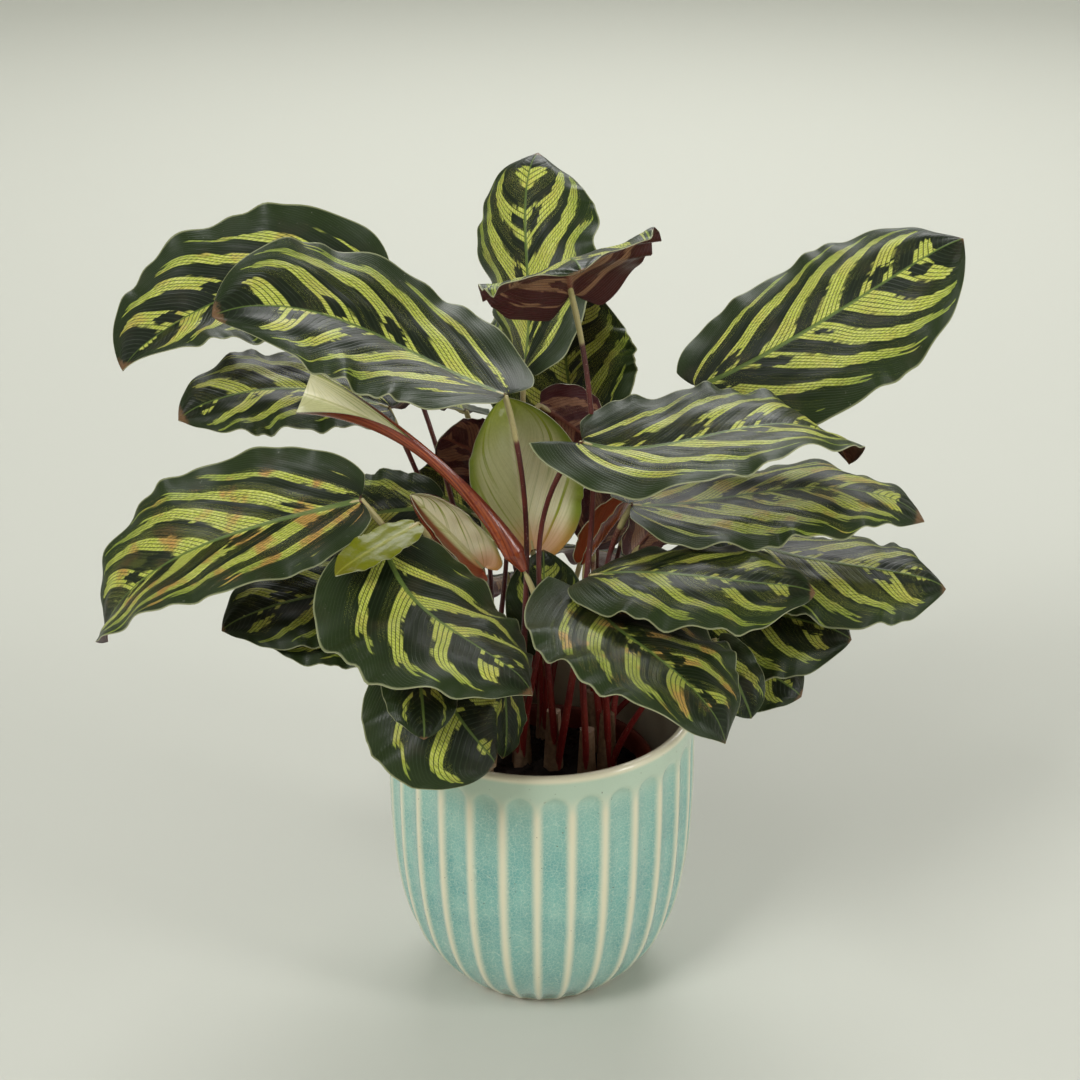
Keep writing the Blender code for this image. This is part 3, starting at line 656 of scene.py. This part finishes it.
def glaze_material():
    """Celadon glaze: teal where it pools in the flutes, cream where it thins on the ribs and the rim, with
    painted shade beside the ribs and low down and a painted highlight on the lip.
    """
    paint = Painter("glaze")
    (flute, height, inside), _ = paint.attribute("glaze_place")
    place = paint.place()
    cloud = paint.noise(place, 24, 3)
    grain = paint.noise(place, 900, 2)
    blot = paint.noise(place, 52, 2)
    crack = 1 - paint.cracks(place, 620).smooth(0.0, 0.09)
    wide = 1 - paint.cracks(place, 230).smooth(0.0, 0.035)
    teal = paint.layers(
        paint.mix(cloud.smooth(0.3, 0.7), (112, 176, 168), (150, 198, 184)),
        (blot.smooth(0.42, 0.68) * 0.55, (88, 154, 154)),
        # Painted shade: darker teal in each flute beside its ribs
        ((1 - flute.smooth(0.3, 0.95)) * 0.35, (92, 158, 154)),
        (height.smooth(88, 142) * 0.5, (168, 204, 184)),
        # Painted shade: darker teal towards the foot
        ((1 - height / RIM_HEIGHT).smooth(0.35, 1.0) * 0.45, (88, 146, 144)),
        (grain.smooth(0.4, 0.7) * 0.35, (160, 196, 184)),
        (crack * 0.5 + wide * 0.4, (190, 218, 202)),
    )
    pool = (flute + (cloud - 0.5) * 0.16).smooth(0.0, 0.46)
    band = (height + (cloud - 0.5) * 3).smooth(126, FLUTE_TOP)
    # The pale band stops below the lip, which stays cream: glaze thinning on its edge and a painted highlight
    band = band * (1 - (height - (RIM_HEIGHT - 1)).smooth(-0.8, 1.5))
    colour = paint.layers(
        paint.mix(cloud, (226, 220, 188), (236, 232, 206)),
        (pool, teal),
        (band * 0.8, (178, 206, 186)),
        (paint.noise(place, 700, 1).smooth(0.76, 0.79) * 0.7, (84, 78, 62)),
        ((1 - height.smooth(1.0, 5.0)) * 0.6, (176, 150, 116)),
        (inside, (186, 178, 154)),
    )
    paint.shader.inputs["Coat Weight"].default_value = 0.6
    paint.shader.inputs["Coat Roughness"].default_value = 0.06
    return paint.finish(colour, 0.22, cloud * 0.5 + grain * 0.1 - crack * 0.12 - wide * 0.12, 0.25)


# Meshes

# An edge with a wider turn than this is drawn sharp
SHARP_ANGLE = 50


def smooth_object(name, verts, faces, materials, slots=None, attributes=()):
    """An object of this mesh in millimetres, with a material for each face and numbers for each point."""
    mesh = bpy.data.meshes.new(name)
    mesh.from_pydata((np.asarray(verts) * MM).tolist(), [], [tuple(face) for face in faces])
    for material in materials:
        mesh.materials.append(material)
    if slots is not None:
        mesh.polygons.foreach_set("material_index", np.asarray(slots, np.int32))
    for label, values in attributes:
        layer = mesh.attributes.new(label, "FLOAT_VECTOR", "POINT")
        layer.data.foreach_set("vector", np.asarray(values, np.float32).ravel())
    mesh.shade_smooth()
    mesh.set_sharp_from_angle(angle=math.radians(SHARP_ANGLE))
    made = bpy.data.objects.new(name, mesh)
    bpy.context.scene.collection.objects.link(made)
    return made


def dress(piece, nodes):
    """Rides on the object's one body and stands for these solids."""
    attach(piece, BODY)
    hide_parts(*nodes)


def grid_faces(rows, columns, wrap=False):
    """The quads of a grid whose points are counted row by row."""
    across = np.arange(columns if wrap else columns - 1)
    down = np.arange(rows - 1)[:, None] * columns
    a = down + across
    b = down + (across + 1) % columns
    return np.stack([a, b, b + columns, a + columns], -1).reshape(-1, 4)


def closed_faces(rows, sides):
    """The faces of a grid that wraps round, closed at each end by a fan round one more point."""
    last = rows * sides
    faces = [tuple(face) for face in grid_faces(rows, sides, wrap=True)]
    faces += [(last, (i + 1) % sides, i) for i in range(sides)]
    faces += [(last + 1, last - sides + i, last - sides + (i + 1) % sides) for i in range(sides)]
    return faces


def turned(profile, sides):
    """The points of a profile of radius and height turned round the axis, and the angle of each side."""
    angle = np.linspace(0, 2 * math.pi, sides, endpoint=False)
    radius, height = np.array(profile, float).T[..., None]
    verts = np.stack(np.broadcast_arrays(radius * np.cos(angle), radius * np.sin(angle), height), -1)
    return verts, angle


def turned_solid(verts, first, last):
    """The points and faces of a turned grid, closed at both ends round these heights on the axis."""
    points = np.concatenate([verts.reshape(-1, 3), [(0, 0, first), (0, 0, last)]])
    return points, [face[::-1] for face in closed_faces(*verts.shape[:2])]


# Blades

def bezier(points, s):
    """Places and directions at each s on a cubic Bezier curve."""
    p0, p1, p2, p3 = (np.asarray(point, float) for point in points)
    s = np.asarray(s)[:, None]
    r = 1 - s
    place = p0 * r**3 + p1 * (3 * r * r * s) + p2 * (3 * r * s * s) + p3 * s**3
    slope = (p1 - p0) * (r * r) + (p2 - p1) * (2 * r * s) + (p3 - p2) * (s * s)
    return place, unit(slope)


def unit_from_angles(compass, above_level):
    """The direction that looks to the front at compass angle 0 and to the right at 90."""
    compass, above = math.radians(compass), math.radians(above_level)
    level = math.cos(above)
    return np.array((math.sin(compass) * level, -math.cos(compass) * level, math.sin(above)))


def unit(vectors):
    """The vectors, each with a length of 1."""
    return vectors / np.maximum(np.linalg.norm(vectors, axis=-1, keepdims=True), 1e-9)


def midrib_controls(leaf):
    """The midrib's Bezier points, and the face direction square to its chord."""
    base, tip = np.array(leaf.base, float), np.array(leaf.tip, float)
    chord = unit(tip - base)
    face = unit_from_angles(*leaf.facing)
    face = unit(face - chord * face.dot(chord))
    side = np.cross(chord, face)
    near, far, bow = leaf.arch
    step = (tip - base) / 3
    lift_near, lift_far = ((face * bend + side * bow) * 4 / 3 for bend in (near, far))
    return (base, base + step + lift_near, base + step * 2 + lift_far, tip), face


def blade_frames(leaf, s):
    """At each s along the midrib: the place, the direction along it, the upper face's normal, and across."""
    controls, face = midrib_controls(leaf)
    place, along = bezier(controls, s)
    normal = unit(face - along * (along @ face)[:, None])
    across = np.cross(along, normal)
    turn = (math.radians(leaf.twist) * (s - TWIST_START))[:, None]
    turned_normal = normal * np.cos(turn) + across * np.sin(turn)
    turned_across = across * np.cos(turn) - normal * np.sin(turn)
    return place, along, turned_normal, turned_across


def half_widths(leaf, s):
    """Half the blade's width at each s, from a blunt base to a pointed tip."""
    power = np.where(s < 0.5, BASE_BLUNTNESS, TIP_BLUNTNESS)
    share = np.maximum(0, 1 - np.abs(2 * s - 1) ** OUTLINE_POWER) ** power
    half = share * leaf.width / 2
    return np.maximum(half, np.where(s < 0.5, BASE_HALF_WIDTH, TIP_HALF_WIDTH))


def open_blade(leaf, number, s, t):
    """The middle surface of an open blade, one row for each s."""
    place, along, normal, across = (part[:, None, :] for part in blade_frames(leaf, s))
    half = half_widths(leaf, s)[:, None]
    s, t = s[:, None], t[None, :]
    edge, side = np.abs(t), np.sign(t)
    rise, turn_base, turn_tip = (math.radians(angle) for angle in leaf.section)
    bend = -(turn_base + (turn_tip - turn_base) * s)
    bend = np.where(np.abs(bend) < LEAST_TURN, LEAST_TURN, bend)
    end = rise + bend * edge
    out = half * (np.sin(end) - math.sin(rise)) / bend
    up = half * (math.cos(rise) - np.cos(end)) / bend
    size = min(1, leaf.width / FULL_WAVE_WIDTH)
    body = size * np.sqrt(np.sin(math.pi * np.clip(s, 0, 1)).clip(0))
    # The wave of part.py and a finer ripple at the edge
    phase = number * WAVE_SHIFT_PER_LEAF + side * WAVE_SHIFT_PER_SIDE
    wave = np.sin(2 * math.pi * WAVES * s + phase)
    ripple = np.sin(2 * math.pi * RIPPLES * (s + 0.02 * np.sin(s * 17 + number)) + phase * 3.7)
    up = up + body * (WAVE * edge**2 * wave + RIPPLE * edge**5 * ripple)
    # Quilting between the side veins, which run as in Markings
    sweep = SWEEP * edge + SWEEP_BEND * edge**3
    vein = 2 * (s - sweep) / (1 + np.sqrt(np.maximum(0, 1 - 4 * sweep * (s - sweep))))
    quilt = np.cos(2 * math.pi * (QUILTS * vein + number * 0.37))
    up = up + QUILT * body * quilt * np.sin(math.pi * edge**0.8)
    # Low swells across each half, and the droop of the tip
    fold = np.sin(2 * math.pi * (2.6 * s + 0.9 * t) + number * 1.9)
    fold = fold * np.sin(2 * math.pi * (1.7 * s - 1.3 * t) + number)
    up = up + BUCKLE * body * fold * np.sin(math.pi * edge)
    up = up - TIP_DROOP * size * (np.clip(s - TIP_DROOP_START, 0, 1) / (1 - TIP_DROOP_START)) ** 2
    grown = np.minimum(1, half / (LOBE_START * leaf.width)) * (half > BASE_HALF_WIDTH)
    lobe = np.where(side < 0, leaf.lobes[0], leaf.lobes[1]) * size
    back = lobe * grown * edge**1.5 * (1 - s) ** LOBE_FADE
    parts = across * (out * side)[..., None] + normal * up[..., None] - along * back[..., None]
    return place + parts, half * np.ones_like(edge)


def rolled_blade(leaf, s, t):
    """The middle surface of the leaf that is still a scroll, one row for each s."""
    place, _, normal, across = (part[:, None, :] for part in blade_frames(leaf, s))
    widening = np.where(s < 0.5, SCROLL_FOOT, SCROLL_MOUTH)
    radius = SCROLL_NECK + widening * (1 - 2 * s) ** 2
    radius = radius * np.minimum(1, SCROLL_START + s / SCROLL_START_LENGTH)
    turns = (SCROLL_TURNS + (SCROLL_OPEN_TURNS - SCROLL_TURNS) * s * s)[:, None]
    radius = radius[:, None] * (1 - SCROLL_PITCH * (t + 1) / 2)
    angle = math.pi * turns * t
    around = across * (radius * np.sin(angle))[..., None] - normal * (radius * np.cos(angle))[..., None]
    return place + around, radius * math.pi * turns


def leaf_grid_lines(leaf, length):
    """Where the fine grid's rows and columns lie, closer together at both ends and beside the midrib."""
    rows = max(LEAST_ROWS, round(length / GRID_STEP))
    width = SCROLL_GRID_WIDTH if leaf.section == SCROLL else leaf.width
    columns = 2 * max(LEAST_HALF_COLUMNS, round(width / GRID_STEP / 2)) + 1
    t = np.linspace(-1, 1, columns)
    return (1 - np.cos(np.pi * np.linspace(0, 1, rows))) / 2, np.sign(t) * np.abs(t) ** 1.15


def make_leaf(name, node, leaf, number, materials, tint):
    """One leaf: a thin closed blade with a rib beneath, its markings' place stored at each point."""
    length = np.linalg.norm(np.subtract(leaf.tip, leaf.base))
    s, t = leaf_grid_lines(leaf, length)
    rows, columns = len(s), len(t)
    if leaf.section == SCROLL:
        surface, half = rolled_blade(leaf, s, t)
    else:
        surface, half = open_blade(leaf, number, s, t)
    s, t = s[:, None], t[None, :]
    normal = unit(np.cross(np.gradient(surface, axis=1), np.gradient(surface, axis=0)))
    thick = MIDDLE_THICKNESS + (EDGE_THICKNESS - MIDDLE_THICKNESS) * np.abs(t)
    out = t * half
    fade = 1 - 0.85 * s
    rib = RIB_DEPTH * fade * np.exp(-((out / RIB_WIDTH) ** 2))
    groove = np.exp(-((out / GROOVE_WIDTH) ** 2)) - 1.3 * np.exp(-((out / HOLLOW_WIDTH) ** 2))
    upper = surface + normal * (thick / 2 + GROOVE_DEPTH * fade * groove)[..., None]
    under = surface - normal * (thick / 2 + rib)[..., None]
    verts = np.concatenate([upper.reshape(-1, 3), under.reshape(-1, 3)])
    verts = np.clip(verts, np.array(CAD_BOX[0]) / MM, np.array(CAD_BOX[1]) / MM)
    # Upper face, underside, and the strip between their borders
    top = grid_faces(rows, columns)
    count = rows * columns
    ring = [*range(columns), *((i + 1) * columns - 1 for i in range(1, rows))]
    ring += [*range(count - 2, count - columns - 1, -1), *(i * columns for i in range(rows - 2, 0, -1))]
    ring = np.array(ring)
    following = np.roll(ring, -1)
    rim = np.stack([following, ring, ring + count, following + count], -1)
    faces = np.concatenate([top, top[:, ::-1] + count, rim])
    slots = np.repeat([0, 1, 2], [len(top), len(top), len(rim)])
    size = (length, *DARKNESS.get(number + 1, USUAL_DARKNESS))
    stored = {"leaf_grid": (s, t, float(number)), "leaf_place": (s * length, out, tint), "leaf_size": size}
    flat = np.zeros((rows, columns))
    attributes = []
    for label, parts in stored.items():
        values = np.stack(np.broadcast_arrays(flat, *parts)[1:], -1).reshape(-1, 3)
        attributes.append((label, np.tile(values, (2, 1))))
    dress(smooth_object(name, verts, faces, materials, slots, attributes), [node])


# Stalks

def stalk_line(leaf, foot, count):
    """The stalk's middle line, from the soil to just inside the blade's rib."""
    place, along, normal, _ = (part[0] for part in blade_frames(leaf, np.array([0.0])))
    arrival = unit(place - foot) * ARRIVAL_STRAIGHT + (0, 0, ARRIVAL_UPRIGHT) + along * ARRIVAL_ALONG
    arrival = arrival + normal * max(0, LEAST_UNDER - arrival.dot(normal))
    arrival = arrival + along * max(0, LEAST_AHEAD - arrival.dot(along))
    if leaf.section == SCROLL:
        arrival = along
    arrival = unit(arrival)
    end = place - normal * STALK_SINK
    handle = STALK_HANDLE * np.linalg.norm(end - foot)
    sway = np.array(leaf.sway, float)
    points = (foot, foot + (0, 0, leaf.rise) + sway, end - arrival * handle + sway, end)
    line, _ = bezier(points, np.linspace(0, 1, count))
    # The stalk runs on along the underside as the thick foot of the midrib
    if leaf.section != SCROLL:
        ahead = [place + along * step - normal * (0.9 - step * 0.06) for step in (1.5, 4, 8)]
        line = np.concatenate([line, ahead])
    return line


def tube(line, radii, sides, seed):
    """The points, faces and stored numbers of a closed tube round a line."""
    tangent = unit(np.gradient(line, axis=0))
    arm = unit(np.cross(tangent[0], (0.31, 0.72, 0.1)))
    arms = []
    for direction in tangent:
        arm = unit(arm - direction * arm.dot(direction))
        arms.append(arm)
    arms = np.array(arms)
    other = np.cross(tangent, arms)
    angle = np.linspace(0, 2 * math.pi, sides, endpoint=False)[:, None]
    circle = arms[:, None] * np.cos(angle) + other[:, None] * np.sin(angle)
    verts = line[:, None] + circle * radii.reshape(len(line), -1, 1)
    verts = np.concatenate([verts.reshape(-1, 3), line[:1], line[-1:]])
    steps = np.linalg.norm(np.diff(line, axis=0), axis=1)
    travelled = np.concatenate([[0], np.cumsum(steps)])
    left = travelled[-1] - travelled
    numbers = np.stack(np.broadcast_arrays(travelled, left, float(seed)), -1)
    numbers = np.concatenate([np.repeat(numbers, sides, axis=0), numbers[:1], numbers[-1:]])
    return verts, closed_faces(len(line), sides), numbers


def join(pieces):
    """Several sets of points, faces and numbers as one."""
    verts, faces, numbers, start = [], [], [], 0
    for some, quads, values in pieces:
        verts.append(some)
        numbers.append(values)
        faces += [tuple(index + start for index in face) for face in quads]
        start += len(some)
    return np.concatenate(verts), faces, np.concatenate(numbers)


def sheath(place, seed):
    """The husk that wraps a shoot's foot in soft folds."""
    heights = np.linspace(-STALK_ROOT, SHEATH_HEIGHT, HUSK_ROWS)
    share = np.clip(heights / SHEATH_HEIGHT, 0, 1)
    radius = SHEATH_RADIUS + (HUSK_TOP_RADIUS - SHEATH_RADIUS) * share
    line = np.stack(np.broadcast_arrays(*place, SOIL_TOP + heights), 1)
    angle = np.linspace(0, 2 * math.pi, HUSK_SIDES, endpoint=False)
    folds = 1 + 0.10 * np.sin(angle * 3 + seed) + 0.05 * np.sin(angle * 7 + seed * 2)
    radii = radius[:, None] * folds[None, :]
    return tube(line, radii, HUSK_SIDES, seed)


def make_stalks(letter, place, materials):
    """One shoot: its stalks, and the husk round their feet."""
    top = np.array((*place, SOIL_TOP), float)
    stalks = []
    for number, leaf in enumerate(LEAVES.values()):
        if leaf.shoot != letter:
            continue
        outward = np.array(leaf.base, float) - top
        outward[2] = 0
        foot = top + unit(outward) * STALK_RING
        line = stalk_line(leaf, foot, STALK_ROWS)
        line = np.concatenate([[foot - (0, 0, STALK_ROOT)], line])
        share = np.linspace(0, 1, len(line))
        radii = STALK_FOOT_RADIUS + (STALK_RADIUS - STALK_FOOT_RADIUS) * np.minimum(1, share * 2)
        left = np.linalg.norm(line - line[-1], axis=1)
        radii = radii + KNEE * np.exp(-(((left - KNEE_PLACE) / KNEE_LENGTH) ** 2))
        radii[-1] = STALK_TIP_RADIUS
        stalks.append(tube(line, radii, STALK_SIDES, number))
    husk = sheath(place, len(stalks))
    verts, faces, numbers = join([*stalks, husk])
    slots = np.arange(len(faces)) >= len(faces) - len(husk[1])
    piece = smooth_object("stalks_" + letter, verts, faces, materials, slots, [("stalk_place", numbers)])
    dress(piece, ["shoot_" + letter])


# Pots and soil

def along_profile(profile, steps):
    """Radius and height at even steps along a profile, rounded where it turns."""
    points = np.array(profile, float)
    for _ in range(3):
        near = points[:-1] * 0.75 + points[1:] * 0.25
        far = points[:-1] * 0.25 + points[1:] * 0.75
        middle = np.stack([near, far], 1).reshape(-1, 2)
        points = np.concatenate([points[:1], middle, points[-1:]])
    travelled = np.concatenate([[0], np.cumsum(np.linalg.norm(np.diff(points, axis=0), axis=1))])
    even = np.linspace(0, travelled[-1], steps)
    return np.stack([np.interp(even, travelled, points[:, i]) for i in (0, 1)], 1)


def make_glazed_pot(material):
    """The ceramic pot: flutes with rounded tops between narrow ribs, a plain rim band and a smooth inside."""
    outer = along_profile(POT_OUTSIDE, OUTSIDE_ROWS)
    inner = along_profile(POT_INSIDE[::-1], INSIDE_ROWS)[::-1]
    profile = np.concatenate([inner, LIP, outer])
    verts, angle = turned(profile, RIBS * SIDES_PER_RIB)
    first = len(inner) + len(LIP)
    turns = (angle - math.radians(FRONT_RIB_ANGLE - 90)) / (2 * math.pi) * RIBS
    across = 2 * np.minimum(turns % 1, 1 - turns % 1)
    radius, height = profile[first:].T[..., None]
    arch = FLUTE_TOP - FLUTE_ARCH * (1 - np.sqrt(1 - (1 - across) ** 2 * 0.999))
    begun = np.clip((arch - height) / FLUTE_ARCH_SOFTNESS, 0, 1)
    begun = begun * begun * (3 - 2 * begun) * np.clip((height - 0.4) / FLUTE_FOOT_FADE, 0, 1)
    least, most = math.sqrt(RIB_SOFTNESS), math.sqrt(1 + RIB_SOFTNESS)
    soft = (np.sqrt(across**2 + RIB_SOFTNESS) - least) / (most - least)
    depth = FLUTE_DEPTH * (1 - (1 - soft) ** 2) * begun
    verts[first:, :, :2] *= (1 - depth / radius)[..., None]
    glaze = np.zeros(verts.shape)
    glaze[first:, :, 0] = across * begun
    glaze[..., 1] = verts[..., 2]
    glaze[: len(inner), :, 2] = 1
    points, faces = turned_solid(verts, profile[0, 1], profile[-1, 1])
    numbers = np.concatenate([glaze.reshape(-1, 3), [(0, 8, 1), (0, 0, 0)]])
    piece = smooth_object("glazed_pot", points, faces, [material], None, [("glaze_place", numbers)])
    dress(piece, ["pot"])


def make_plastic_pot(material):
    """The nursery pot, with a rim folded outward and down."""
    top, rim, fold = NURSERY_RIM, NURSERY_RIM_RADIUS, NURSERY_RIM - NURSERY_RIM_DEPTH
    inside = NURSERY_RADIUS - NURSERY_WALL
    profile = [
        (NURSERY_BASE_RADIUS - NURSERY_WALL, NURSERY_FLOOR + NURSERY_WALL),
        (inside - 0.6, top - 3),
        (inside, top - 0.6),
        (inside + 0.7, top),
        (rim - 0.7, top),
        (rim, top - 0.7),
        (rim, fold),
        (rim - 0.8, fold),
        (rim - 1.0, top - 3),
        (NURSERY_RADIUS, top - 3.4),
        (NURSERY_RADIUS - 0.3, fold),
        (NURSERY_BASE_RADIUS, NURSERY_FLOOR),
    ]
    verts, _ = turned(profile, NURSERY_SIDES)
    points, faces = turned_solid(verts, profile[0][1], profile[-1][1])
    dress(smooth_object("plastic_pot", points, faces, [material]), ["nursery_pot"])


def soil_height(x, y):
    """The height of the soil's lumpy top."""
    reach = math.hypot(x, y) / SOIL_RADIUS
    fall = min(1, max(0, (reach - SOIL_CROWN_SHARE) / (1 - SOIL_CROWN_SHARE)))
    lumps = noise.noise(Vector((x / 9, y / 9, 3))) * 1.6 + noise.noise(Vector((x / 3, y / 3, 8))) * 0.9
    return SOIL_TOP + SOIL_CROWN - 2 * SOIL_CROWN * fall + lumps - 0.6


def make_soil(material, random):
    """The soil: a lumpy top on a plain body, with crumbs lying on it."""
    profile = [(SOIL_RADIUS * ring / SOIL_RINGS, 0) for ring in range(1, SOIL_RINGS + 1)]
    verts, _ = turned([*profile, (SOIL_BASE_RADIUS, SOIL_BASE)], SOIL_SIDES)
    for point in verts[:-1].reshape(-1, 3):
        point[2] = soil_height(*point[:2])
    points, faces = turned_solid(verts, soil_height(0, 0), SOIL_BASE)
    pieces = [(points, faces, np.zeros(points.shape))]
    shape_points, shape_faces = crumb_shape()
    for _ in range(CRUMBS):
        radius, angle = SOIL_RADIUS * 0.97 * math.sqrt(random.random()), random.random() * 2 * math.pi
        x, y = radius * math.cos(angle), radius * math.sin(angle)
        size = 0.5 + 1.3 * random.random() ** 2
        stretch = 0.6 + random.random(3) * 0.9
        points = shape_points * stretch * size * (0.8 + 0.4 * random.random((len(shape_points), 1)))
        points = points + (x, y, soil_height(x, y) + size * 0.25)
        pieces.append((points, shape_faces, np.zeros(points.shape)))
    points, faces, _ = join(pieces)
    dress(smooth_object("potting_soil", points, faces, [material]), ["soil"])


def crumb_shape():
    """A small round shape of 20 faces."""
    golden = (1 + math.sqrt(5)) / 2
    points = []
    for a in (-1, 1):
        for b in (-golden, golden):
            points += [(0, a, b), (a, b, 0), (b, 0, a)]
    points = np.array(points) / math.hypot(1, golden)
    faces = []
    for i, j, k in combinations(range(12), 3):
        a, b, c = points[i], points[j], points[k]
        if max(np.linalg.norm(side) for side in (a - b, b - c, a - c)) < 1.1:
            faces.append((i, j, k) if np.cross(b - a, c - a).dot(a) > 0 else (i, k, j))
    return points, faces


# Stage

# The backdrop: a round floor, the curve at its edge and the wall above
BACKDROP_COLOUR = (202, 203, 193)
FLOOR_RADIUS = 3000
WALL_CURVE = 1200
WALL_CURVE_ROWS = 14
WALL_HEIGHT = 3000
BACKDROP_SIDES = 96
# The even light from all over the upper left, and the surroundings' own
EVEN_ENERGY = 0.54
EVEN_SPREAD = 70
EVEN_TURN = (28, -24, 0)
SURROUNDINGS_COLOUR = (222, 224, 214)
SURROUNDINGS_STRENGTH = 0.24


def link(name, data, place=(0, 0, 0), turn=(0, 0, 0)):
    """An object of a camera or light at this place, turned by these angles in radians."""
    made = bpy.data.objects.new(name, data)
    made.location, made.rotation_euler = place, turn
    bpy.context.scene.collection.objects.link(made)
    return made


def area_light(name, place, target, size, power):
    """A soft rectangular light at place, turned to target. Its place and size are metres, its power watts."""
    light = bpy.data.lights.new(name, "AREA")
    light.shape = "RECTANGLE"
    light.size, light.size_y = size
    light.energy = power
    link(name, light, place, (Vector(target) - Vector(place)).to_track_quat("-Z", "Y").to_euler())


def make_backdrop():
    """A plain pale floor that curves up into a round wall."""
    pale = Painter("backdrop").finish(BACKDROP_COLOUR, 0.7)
    turn = np.linspace(0, math.pi / 2, WALL_CURVE_ROWS)
    corner = np.stack([FLOOR_RADIUS + WALL_CURVE * np.sin(turn), WALL_CURVE * (1 - np.cos(turn))], 1)
    profile = np.concatenate([[(0, 0)], corner, [(FLOOR_RADIUS + WALL_CURVE, WALL_HEIGHT)]])
    verts, _ = turned(profile, BACKDROP_SIDES)
    faces = grid_faces(len(profile), BACKDROP_SIDES, wrap=True)
    smooth_object("backdrop", verts.reshape(-1, 3), faces, [pale])


def make_stage():
    """The camera, the floor, the lights and the pale surroundings."""
    lens = bpy.data.cameras.new("photo_camera")
    lens.sensor_width, lens.lens, lens.clip_start = SENSOR, LENS, 0.01
    scene = bpy.context.scene
    scene.camera = link("photo_camera", lens, CAMERA_PLACE, (math.radians(90 - CAMERA_DOWN), 0, 0))
    make_backdrop()
    area_light("key", (-2.0, -2.3, 3.0), (0, 0, 0.2), (1.25, 1.25), 80)
    even = bpy.data.lights.new("even", "SUN")
    even.energy, even.angle = EVEN_ENERGY, math.radians(EVEN_SPREAD)
    link("even", even, turn=[math.radians(angle) for angle in EVEN_TURN])
    area_light("side", (2.1, -1.1, 1.25), (0, 0, 0.15), (0.48, 1.6), 23)
    area_light("back", (0.2, 2.3, 2.1), (0, 0, 0.25), (1.85, 0.95), 46)
    world = bpy.data.worlds.new("surroundings")
    world.use_nodes = True
    background = world.node_tree.nodes["Background"]
    background.inputs["Color"].default_value = srgb(*SURROUNDINGS_COLOUR)
    background.inputs["Strength"].default_value = SURROUNDINGS_STRENGTH
    scene.world = world
    scene.view_settings.view_transform = "Standard"


def main():
    """Builds the stage and every piece of the plant and its pots."""
    make_stage()
    grown = [leaf_upper_material(), leaf_under_material(), leaf_edge_material()]
    young = [young_inner_material(), young_outer_material(), leaf_edge_material()]
    pale = [pale_leaf_material(), *grown[1:]]
    for number, (node, leaf) in enumerate(LEAVES.items()):
        is_young = node.startswith("new")
        looks = young if is_young else pale if node == PALE_LEAF else grown
        name = node.replace("new_leaf", "young_leaf").replace("blade", "leaf")
        tint = TINTS.get(node, USUAL_TINT)
        make_leaf(name, node, leaf, number, looks, tint)
    stalk_looks = [stalk_material(), husk_material()]
    for letter, place in SHOOTS.items():
        make_stalks(letter, place, stalk_looks)
    make_glazed_pot(glaze_material())
    make_plastic_pot(plastic_material())
    make_soil(soil_material(), np.random.default_rng(7))


main()
